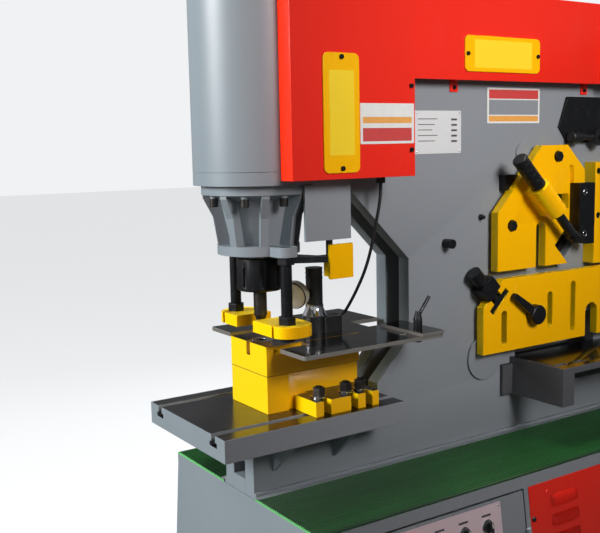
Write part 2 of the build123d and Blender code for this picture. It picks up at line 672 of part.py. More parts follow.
def frame_weldments():
    """Bars between the plates, foot strips and the triangular ribs under the table."""
    gap = FRAME_HALF - PLATE_THICK
    left = JAW_LEFT_X
    bars = block(left + 217, FRAME_RIGHT_X - 10, -gap, gap, BASE_TOP_Z, BASE_TOP_Z + FLOOR_BAR)
    bars += block(left, left + END_BAR, -gap, gap, BASE_TOP_Z, JAW_WINDOW_LOW_Z)
    bars += block(left, left + END_BAR, -gap, gap, JAW_WINDOW_HIGH_Z, JAW_TOP_Z)
    bars += block(JAW_RIGHT_X - 60, JAW_RIGHT_X, -gap, gap, BASE_TOP_Z, JAW_TOP_Z)
    bars += block(HEAD_LEFT_X + 20, THROAT_BACK_X - 190, -gap, gap, HEAD_UNDER_Z + 10, FRAME_TOP_Z)
    bars += block(STOP_X_POS - 310, STOP_X_POS - 170, -gap, gap, FRAME_TOP_Z - 300, FRAME_TOP_Z)
    bars += block(RAM_X - 380, RAM_X - 160, -gap, gap, FRAME_TOP_Z - FRAME_SHOULDER, FRAME_TOP_Z)
    strips = []
    for side in (-1, 1):
        strips.append(block(JAW_LEFT_X, FRAME_RIGHT_X, side * FRAME_HALF, side * (FRAME_HALF + 8),
                            BASE_TOP_Z, BASE_TOP_Z + 15))
        for x in RIB_X:
            rib = end_profile(((side * FRAME_HALF, JAW_TOP_Z - 93), (side * FRAME_HALF, JAW_TOP_Z),
                               (side * (TABLE_HALF_Y - 20), JAW_TOP_Z)), x - RIB_THICK / 2, x + RIB_THICK / 2)
            strips.append(rib)
    return Compound(children=list(bars.solids()) + [s for strip in strips for s in strip.solids()])


def t_slot_table():
    table = block(TABLE_LEFT_X, TABLE_RIGHT_X, -TABLE_HALF_Y, TABLE_HALF_Y, JAW_TOP_Z, TABLE_TOP_Z)
    low = TABLE_TOP_Z - SLOT_DEPTH
    for side in (-1, 1):
        y = side * SLOT_Y
        table -= block(TABLE_LEFT_X, TABLE_RIGHT_X, y - SLOT_NECK / 2, y + SLOT_NECK / 2, low, TABLE_TOP_Z)
        table -= block(TABLE_LEFT_X, TABLE_RIGHT_X, y - SLOT_HEAD / 2, y + SLOT_HEAD / 2,
                       low, low + SLOT_HEAD_HIGH)
    table -= rod_z(SLUG_R, PUNCH_X, 0, JAW_TOP_Z - 1, TABLE_TOP_Z + 1)
    return table


def die_block_lower():
    body = block(DIE_LEFT_X, DIE_RIGHT_X, -DIE_HALF_Y, DIE_HALF_Y, TABLE_TOP_Z, DIE_SEAM_Z)
    foot_top = TABLE_TOP_Z + FOOT_HIGH
    for side in (-1, 1):
        outer = side * DIE_HALF_Y
        wall = outer - side * DIE_RECESS
        reach = side * FOOT_REACH_Y
        body -= block(DIE_STEP_X, DIE_RIGHT_X + 1, outer, wall, TABLE_TOP_Z - 1, DIE_SEAM_Z + 1)
        body += block(FOOT_LEFT_X, FOOT_RIGHT_X, wall, reach, TABLE_TOP_Z, foot_top)
        body -= block(FOOT_LEFT_X - 1, FOOT_LEFT_X + FOOT_NECK, wall, wall + side * FOOT_GAP,
                      TABLE_TOP_Z - 1, foot_top + 1)
        for x in FOOT_SLOTS_X:
            r = FOOT_SLOT_WIDTH / 2
            inner = side * (FOOT_REACH_Y - 52)
            body -= block(x - r, x + r, inner, reach + side, TABLE_TOP_Z - 1, foot_top + 1)
            body -= rod_z(r, x, inner, TABLE_TOP_Z - 1, foot_top + 1)
    body -= rod_z(SLUG_R, PUNCH_X, 0, TABLE_TOP_Z - 1, DIE_SEAM_Z + 1)
    return body


def die_block_upper():
    """Upper half with the insert's seat, a key slot in the left face and a clamping screw's hole."""
    seat = DIE_TOP_Z - DIE_INSERT_HIGH
    key = DIE_KEY_WIDTH / 2
    body = block(DIE_LEFT_X, DIE_RIGHT_X, -DIE_HALF_Y, DIE_HALF_Y, DIE_SEAM_Z, DIE_TOP_Z)
    body -= rod_z(DIE_INSERT_R, PUNCH_X, 0, seat, DIE_TOP_Z + 1)
    body -= rod_z(DIE_INSERT_R - 6, PUNCH_X, 0, DIE_SEAM_Z - 1, DIE_TOP_Z)
    body -= block(DIE_LEFT_X - 1, PUNCH_X - 20, -key, key, DIE_TOP_Z - DIE_KEY_DEEP, DIE_TOP_Z + 1)
    body -= rod_y(DIE_SCREW_R, DIE_SCREW_X, -DIE_HALF_Y - 1, -DIE_INSERT_R + 8, DIE_TOP_Z - 14)
    return body


def die_insert():
    seat = DIE_TOP_Z - DIE_INSERT_HIGH
    key = DIE_KEY_WIDTH / 2
    ring = rod_z(DIE_INSERT_R, PUNCH_X, 0, seat, DIE_TOP_Z)
    ring -= rod_z(DIE_BORE_R, PUNCH_X, 0, seat - 1, DIE_TOP_Z + 1)
    ring -= block(DIE_LEFT_X, PUNCH_X - 20, -key, key, DIE_TOP_Z - DIE_KEY_DEEP, DIE_TOP_Z + 1)
    return ring


def die_clamp_studs():
    """T-bolts, washers and nuts in the foot slots, front and back."""
    pieces = []
    z = TABLE_TOP_Z + FOOT_HIGH
    half = SLOT_HEAD / 2 - 2
    top = z + 3 + STUD_NUT_HIGH + 3
    for side in (-1, 1):
        for x in FOOT_SLOTS_X:
            y = side * SLOT_Y
            head_low = TABLE_TOP_Z - SLOT_DEPTH + 1
            bolt = block(x - half, x + half, y - half, y + half, head_low, head_low + SLOT_HEAD_HIGH - 1.5)
            bolt += rod_z(STUD_R - SLIDE_GAP, x, y, head_low, top)
            washer = rod_z(WASHER_R, x, y, z, z + 3) - rod_z(STUD_R, x, y, z - 1, z + 4)
            nut = hex_z(STUD_NUT, x, y, z + 3, top - 3) - rod_z(STUD_R, x, y, z, top)
            pieces += [bolt, washer, nut]
    return Compound(children=[s for p in pieces for s in p.solids()])


def work_table():
    """Steel top with a bay round the die block and a slot for the stop's clamp."""
    low = DIE_TOP_Z - WORK_SHEET
    outline = ((WORK_LEFT_X, -WORK_HALF_Y + 4), (WORK_LEFT_X + 4, -WORK_HALF_Y),
               (WORK_RIGHT_X, -WORK_HALF_Y), (WORK_RIGHT_X, WORK_HALF_Y),
               (WORK_LEFT_X + 4, WORK_HALF_Y), (WORK_LEFT_X, WORK_HALF_Y - 4))
    plate = plan_profile(outline, low, DIE_TOP_Z)
    plate -= block(WORK_LEFT_X - 1, BAY_RIGHT_X, -BAY_HALF_Y, BAY_HALF_Y, low - 1, DIE_TOP_Z + 1)
    plate -= block(WORK_LEFT_X - 1, DIE_RIGHT_X, -DIE_HALF_Y, DIE_HALF_Y, low - 1, DIE_TOP_Z + 1)
    plate -= block(NOTCH_GAP_X, WORK_RIGHT_X + 1, -NOTCH_GAP_HALF, NOTCH_GAP_HALF, low - 1, DIE_TOP_Z + 1)
    slot_r = 7.0
    end = CLAMP_X - FENCE_TRAVEL
    plate -= block(end, CLAMP_X, CLAMP_Y - slot_r, CLAMP_Y + slot_r, low - 1, DIE_TOP_Z + 1)
    plate -= rod_z(slot_r, CLAMP_X, CLAMP_Y, low - 1, DIE_TOP_Z + 1)
    plate -= rod_z(slot_r, end, CLAMP_Y, low - 1, DIE_TOP_Z + 1)
    brackets = block(DIE_RIGHT_X, DIE_RIGHT_X + 60, -60, 60, low - 12, low)
    brackets += block(DIE_RIGHT_X, DIE_RIGHT_X + 12, -60, 60, DIE_SEAM_Z + 5, low)
    for side in (-1, 1):
        brackets += block(BAY_RIGHT_X + 10, DIE_RIGHT_X, side * DIE_HALF_Y, side * (DIE_HALF_Y + 25),
                          low - 18, low)
    return plate + brackets


def table_fence():
    bar = block(WORK_RIGHT_X - FENCE_WIDTH, WORK_RIGHT_X, -WORK_HALF_Y - 5, -60,
                DIE_TOP_Z, DIE_TOP_Z + FENCE_HIGH)
    bar -= rod_z(6 + RUNNING_FIT, CLAMP_X, CLAMP_Y, DIE_TOP_Z - 1, DIE_TOP_Z + FENCE_HIGH + 1)
    return bar


def table_clamp_lever():
    """Indexing lever on a screw, with a small knob under the table."""
    base = DIE_TOP_Z + FENCE_HIGH + SLIDE_GAP
    low = DIE_TOP_Z - WORK_SHEET - SLIDE_GAP
    lever = rod_z(6, CLAMP_X, CLAMP_Y, low - 12, base + 4)
    lever += rod_z(11, CLAMP_X, CLAMP_Y, base, base + 24)
    lever += Pos(CLAMP_X, CLAMP_Y, base + 24) * Cone(11, 6, 20, align=(Align.CENTER, Align.CENTER, Align.MIN))
    arm = Rot(0, 38, 0) * rod_z(4.5, 0, 0, 0, 60)
    lever += Pos(CLAMP_X, CLAMP_Y, base + 30) * arm
    lever += rod_z(9, CLAMP_X, CLAMP_Y, low - 14, low)
    return lever


def ribbed_mats():
    pitch = 9.0
    ribs = int((BASE_TOP_HALF - 77 - 4) // pitch)
    mats = []
    for side in (-1, 1):
        outer = BASE_TOP_HALF - 1
        points = [(side * 76.0, BASE_TOP_Z), (side * 76.0, BASE_TOP_Z + 4)]
        for n in range(ribs):
            y = 78.0 + n * pitch
            points += [(side * y, BASE_TOP_Z + 4), (side * (y + 1.2), BASE_TOP_Z + 6.5),
                       (side * (y + 3.8), BASE_TOP_Z + 6.5), (side * (y + 5.0), BASE_TOP_Z + 4)]
        points += [(side * outer, BASE_TOP_Z + 4), (side * outer, BASE_TOP_Z)]
        mats.append(end_profile(points, -BASE_HALF_LENGTH, BASE_HALF_LENGTH))
    return Compound(children=[s for m in mats for s in m.solids()])


def punch_cylinder():
    body = rod_z(CYLINDER_R, PUNCH_X, 0, CYLINDER_LOW_Z, CYLINDER_TOP_Z)
    groove = rod_z(CYLINDER_R + 1, PUNCH_X, 0, CYLINDER_LOW_Z + 29, CYLINDER_LOW_Z + 31)
    body -= groove - rod_z(CYLINDER_R - 1.5, PUNCH_X, 0, CYLINDER_LOW_Z, CYLINDER_TOP_Z)
    body -= rod_z(CYLINDER_BORE_R, PUNCH_X, 0, CYLINDER_LOW_Z + 60, CYLINDER_TOP_Z)
    body -= rod_z(ROD_R + RUNNING_FIT, PUNCH_X, 0, CYLINDER_LOW_Z - 1, CYLINDER_TOP_Z)
    return Compound(children=[body.solids()[0], cylinder_cap().solids()[0]])


def cylinder_cap():
    """Bolted cap with a spigot in the bore."""
    cap = rod_z(CYLINDER_R, PUNCH_X, 0, CYLINDER_TOP_Z, CYLINDER_TOP_Z + CAP_THICK)
    cap = chamfer(cap.edges().group_by(Axis.Z)[-1], 4)
    cap += rod_z(CYLINDER_BORE_R - RUNNING_FIT, PUNCH_X, 0, CYLINDER_TOP_Z - 25, CYLINDER_TOP_Z)
    for n in range(8):
        angle = radians(n * 45)
        x = PUNCH_X + 125 * cos(angle)
        y = 125 * sin(angle)
        cap -= rod_z(11, x, y, CYLINDER_TOP_Z + CAP_THICK - 10, CYLINDER_TOP_Z + CAP_THICK + 1)
        cap += rod_z(8, x, y, CYLINDER_TOP_Z + CAP_THICK - 12, CYLINDER_TOP_Z + CAP_THICK - 1)
    return cap


def lantern_casting():
    """Tapered sleeve with ribs between the cylinder flange and the lower guide ring."""
    top = CYLINDER_LOW_Z
    low = LANTERN_LOW_Z
    inner = ROD_R + RUNNING_FIT
    relief = low + LANTERN_FLANGE + 20
    profile = ((inner, low), (LANTERN_LOW_R, low), (LANTERN_LOW_R, low + LANTERN_FLANGE),
               (inner + LANTERN_WALL, low + LANTERN_FLANGE),
               (inner + LANTERN_WALL + 22, top - LANTERN_FLANGE - 14),
               (LANTERN_TOP_R, top - LANTERN_FLANGE), (LANTERN_TOP_R, top), (inner + 10, top),
               (inner + 10, relief), (inner, relief))
    sleeve = revolve(Plane.XZ * make_face(Polyline(*profile, close=True)), axis=Axis.Z)
    rib_face = make_face(Polyline(
        (inner + 4, low + 4), (LANTERN_LOW_R - 2, low + 4), (LANTERN_LOW_R - 2, low + LANTERN_FLANGE),
        (LANTERN_TOP_R - 26, top - 75), (LANTERN_TOP_R - 3, top - 30), (LANTERN_TOP_R - 3, top - 4),
        (inner + 14, top - 4), close=True))
    rib = extrude(Plane.XZ.offset(-LANTERN_RIB / 2) * rib_face, amount=LANTERN_RIB)
    for n in range(LANTERN_RIBS):
        sleeve += Rot(0, 0, (n + 0.5) * 360 / LANTERN_RIBS) * rib
    sleeve -= Cylinder(inner, 4 * top)
    sleeve -= rod_z(inner + 10, 0, 0, relief, top + 1)
    for side in (-1, 1):
        ear = rod_z(27, 0, side * STRIPPER_Y, low, low + LANTERN_FLANGE)
        ear += block(-27, 27, side * (LANTERN_LOW_R - 20), side * STRIPPER_Y, low, low + LANTERN_FLANGE)
        sleeve += ear
        sleeve -= rod_z(STRIPPER_ROD_R, 0, side * STRIPPER_Y, low - 1, low + LANTERN_FLANGE + 1)
    sleeve -= rod_z(inner, 0, 0, low - 5, relief + 5)
    for n in range(LANTERN_RIBS):
        angle = radians(n * 360 / LANTERN_RIBS)
        x = (LANTERN_TOP_R - 16) * cos(angle)
        y = (LANTERN_TOP_R - 16) * sin(angle)
        sleeve += Pos(x, y, top - LANTERN_FLANGE - 6) * Cylinder(9, 14)
    return Pos(PUNCH_X, 0, 0) * sleeve


def piston_rod():
    rod = rod_z(ROD_R, PUNCH_X, 0, NUT_TOP_Z, CYLINDER_TOP_Z - 100)
    piston = rod_z(CYLINDER_BORE_R - RUNNING_FIT, PUNCH_X, 0, CYLINDER_TOP_Z - 120, CYLINDER_TOP_Z - 40)
    for z in (CYLINDER_TOP_Z - 100, CYLINDER_TOP_Z - 70):
        piston -= (rod_z(CYLINDER_BORE_R + 1, PUNCH_X, 0, z, z + 8)
                   - rod_z(CYLINDER_BORE_R - 5, PUNCH_X, 0, z - 1, z + 9))
    return rod + piston


def coupling_nut():
    nut = rod_z(NUT_R, PUNCH_X, 0, NUT_LOW_Z, NUT_TOP_Z)
    nut = chamfer(nut.edges(), 4)
    for n in range(8):
        turn = n * 45 + 20
        angle = radians(turn)
        slot = Pos(PUNCH_X + NUT_R * cos(angle), NUT_R * sin(angle), NUT_LOW_Z + 34) * Rot(0, 0, turn)
        nut -= slot * Box(9, 10, 46)
    nut -= rod_z(PUNCH_R, PUNCH_X, 0, NUT_LOW_Z - 1, NUT_TOP_Z - 25)
    return nut


def punch_tool():
    shank = rod_z(PUNCH_R, PUNCH_X, 0, PUNCH_TIP_Z + 22, NUT_TOP_Z - 25)
    tip = rod_z(DIE_BORE_R - 1, PUNCH_X, 0, PUNCH_TIP_Z, PUNCH_TIP_Z + 12)
    taper = Pos(PUNCH_X, 0, PUNCH_TIP_Z + 12) * Cone(DIE_BORE_R - 1, PUNCH_R, 10,
                                                     align=(Align.CENTER, Align.CENTER, Align.MIN))
    return shank + taper + tip


def limit_rod():
    """Arm clamped round the coupling nut that lifts a rod into the punch cover."""
    low, high = LIMIT_ARM_LOW, LIMIT_ARM_HIGH
    x, y = LIMIT_ROD_X, LIMIT_ROD_Y
    outline = ((PUNCH_X - 20, -NUT_R - 21), (PUNCH_X + 20, -NUT_R - 25), (x - 18, y - 14), (x + 42, y - 14),
               (x + 42, y + 18), (x - 18, y + 22), (PUNCH_X + NUT_R + 17, -20), (PUNCH_X + NUT_R + 5, 6))
    arm = plan_profile(outline, low, high)
    arm -= rod_z(NUT_R, PUNCH_X, 0, low - 1, high + 1)
    rod = rod_z(LIMIT_ROD_R, x, y, low, PUNCH_COVER_LOW_Z + 275)
    stops = rod_z(13, x, y, PUNCH_COVER_LOW_Z + 75, PUNCH_COVER_LOW_Z + 97)
    stops += rod_z(13, x, y, PUNCH_COVER_LOW_Z + 195, PUNCH_COVER_LOW_Z + 217)
    mid = (low + high) / 2
    arm += rod_y(5, PUNCH_X + 2, -NUT_R - 31, -NUT_R - 21, mid)
    arm += rod_y(5, PUNCH_X + 30, -NUT_R - 37, -NUT_R - 23, mid)
    return arm + rod + stops


def striker_block():
    """Yellow block in front of the limit arm's end."""
    y = LIMIT_ROD_Y
    face = block(STRIKER_LEFT_X, STRIKER_RIGHT_X, y - 22, y - 14, STRIKER_LOW_Z, STRIKER_HIGH_Z)
    face = fillet(face.edges().filter_by(Axis.Y), 3)
    return face + block(STRIKER_LEFT_X + 8, STRIKER_RIGHT_X - 8, y - 14, y + 16,
                        STRIKER_LOW_Z + 4, LIMIT_ARM_LOW)


def stripper_rods():
    """Two threaded rods with the nuts that lock the arms."""
    pieces = []
    for side in (-1, 1):
        y = side * STRIPPER_Y
        rod = rod_z(STRIPPER_ROD_R, PUNCH_X, y, ARM_LOW_Z - 12, LANTERN_LOW_Z + LANTERN_FLANGE)
        pieces.append(rod)
        for z in (ARM_HIGH_Z + SLIDE_GAP, LANTERN_LOW_Z - 18):
            nut = hex_z(38, PUNCH_X, y, z, z + 18) - rod_z(STRIPPER_ROD_R, PUNCH_X, y, z - 1, z + 19)
            pieces.append(nut)
        foot = rod_z(18, PUNCH_X, y, ARM_LOW_Z - 10, ARM_LOW_Z - SLIDE_GAP)
        pieces.append(foot - rod_z(STRIPPER_ROD_R, PUNCH_X, y, ARM_LOW_Z - 12, ARM_LOW_Z))
    return Compound(children=[s for p in pieces for s in p.solids()])


def stripper_arm(side):
    """Bar from the rod to the punch, rounded at the outer end and split so that it clamps the rod."""
    y = side * STRIPPER_Y
    inner = FRONT_ARM_END_Y if side < 0 else REAR_ARM_END_Y
    left = PUNCH_X - ARM_LEFT
    right = PUNCH_X + ARM_RIGHT
    reach = ARM_REACH_Y - STRIPPER_Y
    arm = block(left, right, inner, y, ARM_LOW_Z, ARM_HIGH_Z)
    mid = (left + right) / 2
    dome = Pos(mid, y, (ARM_LOW_Z + ARM_HIGH_Z) / 2) * extrude(
        Ellipse((right - left) / 2, reach), amount=(ARM_HIGH_Z - ARM_LOW_Z) / 2, both=True)
    arm += dome
    arm -= rod_z(STRIPPER_ROD_R + RUNNING_FIT, PUNCH_X, y, ARM_LOW_Z - 1, ARM_HIGH_Z + 1)
    slit = side * (STRIPPER_Y - 3.5)
    arm -= block(left - 1, PUNCH_X, slit - ARM_SLIT / 2, slit + ARM_SLIT / 2, ARM_LOW_Z - 1, ARM_HIGH_Z + 1)
    return arm


def punch_cover():
    """Folded red cover on the front of the punch cylinder, with a cable gland below."""
    front = PUNCH_COVER_FRONT_Y
    s = COVER_SHEET
    left, right = PUNCH_COVER_LEFT_X, PUNCH_COVER_RIGHT_X
    low = PUNCH_COVER_LOW_Z
    cover = block(left, right, front, -FRAME_HALF, low, COVER_TOP_Z)
    cover -= block(left + s, right - s, front + s, -FRAME_HALF + 1, low + s, COVER_TOP_Z - s)
    cover -= rod_z(CYLINDER_R + SLIDE_GAP, PUNCH_X, 0, low - 1, COVER_TOP_Z + 1)
    cover -= rod_z(LIMIT_ROD_R + 3, LIMIT_ROD_X, LIMIT_ROD_Y, low - 1, low + s + 1)
    cover += rod_z(9, CABLE_START[0], CABLE_START[1], low - 16, low + s)
    return cover


def access_plates():
    """Two rounded plates over the limit switches."""
    y = PUNCH_COVER_FRONT_Y
    z = PUNCH_COVER_LOW_Z + 14
    upright = block(ACCESS_LEFT_X, ACCESS_RIGHT_X, y - ACCESS_SHEET, y, z, z + ACCESS_HIGH)
    upright = fillet(upright.edges().filter_by(Axis.Y), 14)
    y = -TOP_COVER_FRONT_Y
    z = TOP_COVER_LOW_Z + 22
    flat = block(TOP_ACCESS_LEFT_X, TOP_ACCESS_RIGHT_X, y - ACCESS_SHEET, y, z, z + TOP_ACCESS_HIGH)
    flat = fillet(flat.edges().filter_by(Axis.Y), 14)
    return Compound(children=[upright.solids()[0], flat.solids()[0]])


def switch_box():
    s = COVER_SHEET
    high = PUNCH_COVER_LOW_Z
    box = block(BOX_LEFT_X, BOX_RIGHT_X, BOX_FRONT_Y, BOX_BACK_Y, BOX_LOW_Z, high)
    box -= block(BOX_LEFT_X + s, BOX_RIGHT_X - s, BOX_FRONT_Y + s, BOX_BACK_Y - s, BOX_LOW_Z + s, high + 1)
    box -= rod_z(LANTERN_TOP_R + 4, PUNCH_X, 0, BOX_LOW_Z - 1, high + 1)
    box -= rod_z(CYLINDER_R + SLIDE_GAP, PUNCH_X, 0, CYLINDER_LOW_Z - 2, high + 1)
    box -= rod_z(LIMIT_ROD_R + 3, LIMIT_ROD_X, LIMIT_ROD_Y, BOX_LOW_Z - 1, BOX_LOW_Z + s + 1)
    return box


def top_cover():
    """Long cover over the frame's top and the wider hood over the shear cylinder."""
    s = COVER_SHEET
    y = TOP_COVER_FRONT_Y
    left, right, far = PUNCH_COVER_RIGHT_X, TOP_COVER_RIGHT_X, SHEAR_COVER_RIGHT_X
    low, high = TOP_COVER_LOW_Z, COVER_TOP_Z
    cover = block(left, right, -y, y, low, high)
    cover -= block(left + s, right + 1, -y + s, y - s, low - 1, high - s)
    half = SHEAR_COVER_HALF_Y
    hood = block(right, far, -half, half, low, high)
    hood -= block(right + s, far - s, -half + s, half - s, low - 1, high - s)
    hood -= block(right - 1, right + s + 1, -y + s, y - s, low - 1, high - s)
    cover += hood
    cover += block(left, left + s, -y, y, low, high)
    cover -= block(left - 1, left + s + 1, -FRAME_HALF, FRAME_HALF, low - 1, FRAME_TOP_Z)
    for side in (-1, 1):
        for x in COVER_TABS_X:
            tab = block(x - 14, x + 14, side * FRAME_HALF, side * (FRAME_HALF + s), low - 28, low + s)
            tab += block(x - 14, x + 14, side * FRAME_HALF, side * y, low, low + s)
            cover += tab
    return cover


def along_hold(radius, start, end):
    """Rod on the hold-down axis, distances measured down the axis from its reference point."""
    mid = (start + end) / 2
    k = sqrt(0.5)
    place = Pos(HOLD_LINE_X + mid * k, HOLD_Y, HOLD_LINE_Z - mid * k)
    return place * Rot(0, 135, 0) * Cylinder(radius, end - start)


def upper_guide_plate():
    """Guard plate of the angle and bar shears, with the boss of the hold-down screw."""
    front, back = GUIDE_FRONT_Y, GUIDE_FRONT_Y + GUIDE_THICK
    plate = side_profile(UPPER_OUTLINE, front, back)
    low = UPPER_OUTLINE[0][1] - 1
    plate -= diamond(ANGLE_X, ANGLE_Z, ANGLE_WINDOW + 8, front - 1, back + 1)
    plate -= block(ANGLE_X, UPPER_GROOVE[1] + 1, front - 1, back + 1, low, ANGLE_Z)
    half = BAR_SIDE / 2 + 6
    plate -= block(BAR_X - half - 1, BAR_X + half + 1, front - 1, back + 1,
                   BAR_Z - half + 3, BAR_Z + half - 3)
    r = UPPER_SLOT_R
    plate -= block(UPPER_SLOT_X - r, UPPER_SLOT_X + r, front - 1, back + 1, low, UPPER_SLOT_TOP_Z - r)
    plate -= rod_y(r, UPPER_SLOT_X, front - 1, back + 1, UPPER_SLOT_TOP_Z - r)
    plate -= block(UPPER_GROOVE[0], UPPER_GROOVE[1], front - 1, front + 14, low, UPPER_GROOVE_TOP_Z)
    for x, z in UPPER_BOLTS:
        plate += rod_y(STANDOFF_R + 4, x, back, -FRAME_HALF, z)
        plate -= rod_y(UPPER_BOLT_HEX / sqrt(3) + 1, x, front - 1, front + 14, z)
    mid = (HOLD_BOSS_START + HOLD_BOSS_END) / 2
    k = sqrt(0.5)
    place = Pos(HOLD_LINE_X + mid * k, (front + HOLD_Y) / 2, HOLD_LINE_Z - mid * k) * Rot(0, 135, 0)
    plate += place * Box(44, abs(HOLD_Y - front), HOLD_BOSS_END - HOLD_BOSS_START - 4)
    plate += along_hold(HOLD_BOSS_R, HOLD_BOSS_START, HOLD_BOSS_END)
    plate -= along_hold(HOLD_SCREW_R + RUNNING_FIT, HOLD_BOSS_START - 1, HOLD_BOSS_END + 1)
    return plate


def hold_down_screw():
    """Threaded screw with a tubular grip on the same axis."""
    grip_end = HOLD_BOSS_START - 2
    screw = along_hold(HOLD_SCREW_R, grip_end - 10, HOLD_FOOT)
    grip = along_hold(HOLD_GRIP_R, HOLD_GRIP_START, grip_end)
    grip = fillet(grip.edges(), 4)
    for n in range(4):
        at = HOLD_GRIP_START + 16 + n * 20
        grip -= along_hold(HOLD_GRIP_R + 1, at, at + 3) - along_hold(HOLD_GRIP_R - 1.5, at - 1, at + 4)
    return screw + grip


def hold_down_foot():
    end = HOLD_FOOT + 16
    return along_hold(17, HOLD_FOOT + SLIDE_GAP, end) - along_hold(8, HOLD_FOOT - 1, HOLD_FOOT + 4)


def corner_place():
    """Square to the lower plate's bevel; its third axis points out of the bevel."""
    return Pos(CORNER_X, GUIDE_FRONT_Y + GUIDE_THICK / 2, CORNER_Z) * Rot(0, -45, 0)


def lower_guide_plate():
    """Hold-down plate of the flat shear, with slots for the side guides and an arch."""
    front, back = GUIDE_FRONT_Y, GUIDE_FRONT_Y + GUIDE_THICK
    plate = side_profile(LOWER_OUTLINE, front, back)
    for x, z0, z1 in LOWER_SLOTS:
        plate -= upright_slot(x, z0, z1, LOWER_SLOT_WIDTH, front - 1, back + 1)
    low = LOWER_OUTLINE[0][1] - 1
    plate -= block(ARCH_X - ARCH_R, ARCH_X + ARCH_R, front - 1, back + 1, low, ARCH_Z)
    plate -= rod_y(ARCH_R, ARCH_X, front - 1, back + 1, ARCH_Z)
    corner = corner_place()
    neck, head = CORNER_NECK_DEEP, CORNER_NECK_DEEP + CORNER_HEAD_DEEP
    plate -= corner * Pos(0, 0, -neck / 2 + 1) * Box(CORNER_NECK, GUIDE_THICK + 2, neck + 2)
    plate -= corner * Pos(0, 0, -(neck + head) / 2) * Box(CORNER_HEAD, GUIDE_THICK + 2, CORNER_HEAD_DEEP)
    for x, z in LOWER_STANDOFFS:
        plate += rod_y(STANDOFF_R, x, back, -FRAME_HALF, z)
    return plate


def bar_guide_plate():
    """Thick guard right of the bar shear, with round holes for bars of four sizes."""
    plate = side_profile(BAR_GUIDE_OUTLINE, BAR_GUIDE_FRONT_Y, -FRAME_HALF)
    x = BAR_GUIDE_OUTLINE[0][0] + 82
    z = BAR_GUIDE_OUTLINE[1][1] - 42
    for n in range(4):
        plate -= rod_y(9 + 3 * n, x, BAR_GUIDE_FRONT_Y - 1, -FRAME_HALF + 1, z - n * 62)
    for x, z in (BAR_GUIDE_SCREW, BAR_GUIDE_CLAMP):
        plate -= rod_y(9, x, BAR_GUIDE_FRONT_Y - 1, BAR_GUIDE_FRONT_Y + 12, z)
    return plate


def gib_block():
    """Black side guide of the bar shear, its lower corner bevelled clear of the angle window."""
    gib = side_profile(GIB_OUTLINE, GIB_FRONT_Y, -FRAME_HALF)
    for x, z in GIB_SCREWS:
        gib -= rod_y(11, x, GIB_FRONT_Y - 1, GIB_FRONT_Y + 12, z)
    return gib


def socket_plug(x, z, front, radius, depth):
    """Socket head screw in a counterbore, its face just under the surface."""
    screw = rod_y(radius, x, front + 1, front + depth, z)
    return screw - hex_y(radius, x, z, front, front + depth / 2)


def plate_screws():
    """Screws of the guide plates, the square corner clamp and the small fittings of the frame."""
    pieces = []
    for x, z in UPPER_BOLTS:
        pieces.append(hex_y(UPPER_BOLT_HEX, x, z, GUIDE_FRONT_Y - 8, GUIDE_FRONT_Y + 14))
    for x, z in GIB_SCREWS:
        pieces.append(socket_plug(x, z, GIB_FRONT_Y, 10.5, 12))
    for x, z in (BAR_GUIDE_SCREW, BAR_GUIDE_CLAMP):
        pieces.append(socket_plug(x, z, BAR_GUIDE_FRONT_Y, 8.5, 12))
    corner = corner_place()
    along, deep, out = CORNER_BLOCK
    neck, head = CORNER_NECK_DEEP, CORNER_NECK_DEEP + CORNER_HEAD_DEEP
    bolt = corner * Pos(0, 0, -(neck + head) / 2) * Box(CORNER_HEAD - 4, 18, CORNER_HEAD_DEEP - 1)
    bolt += corner * Pos(0, 0, (CORNER_KNOB_END - neck) / 2) * Cylinder(11, CORNER_KNOB_END + neck)
    pieces.append(bolt)
    clamp = corner * Pos(0, 0, out / 2) * Box(along, deep, out)
    pieces.append(clamp - corner * Pos(0, 0, out / 2) * Cylinder(11, out + 2))
    knob = corner * Pos(0, 0, (out + CORNER_KNOB_END) / 2) * Cylinder(CORNER_KNOB_R, CORNER_KNOB_END - out)
    bore = Pos(0, 0, (out + CORNER_KNOB_END) / 2) * Cylinder(11, CORNER_KNOB_END - out + 2)
    pieces.append(knob - corner * bore)
    pieces.append(rod_y(12.5, PEG_X, -FRAME_HALF - 30, -FRAME_HALF, PEG_Z))
    nipple = rod_y(5, NIPPLE_X, -FRAME_HALF - 16, -FRAME_HALF, NIPPLE_Z)
    pieces.append(nipple + rod_y(7.5, NIPPLE_X, -FRAME_HALF - 7, -FRAME_HALF, NIPPLE_Z))
    pieces.append(side_profile(SIDE_PLATE_OUTLINE, -FRAME_HALF - SIDE_PLATE_THICK, -FRAME_HALF))
    return Compound(children=[s for p in pieces for s in p.solids()])


def height_knob():
    """Eccentric knob with a tapered lever on the flat shear plate."""
    front = GUIDE_FRONT_Y - SLIDE_GAP
    knob = rod_y(KNOB_R, KNOB_X, front - 26, front, KNOB_Z)
    knob = fillet(knob.edges().group_by(Axis.Y)[0], 5)
    arm = plan_profile(((0, -14), (KNOB_ARM, -8), (KNOB_ARM, 8), (0, 14)), -7, 7)
    arm = Pos(KNOB_X, front - 11, KNOB_Z) * Rot(0, -145, 0) * Rot(90, 0, 0) * arm
    arm -= rod_y(KNOB_R - 2, KNOB_X, front - 30, front + 10, KNOB_Z)
    return knob + arm


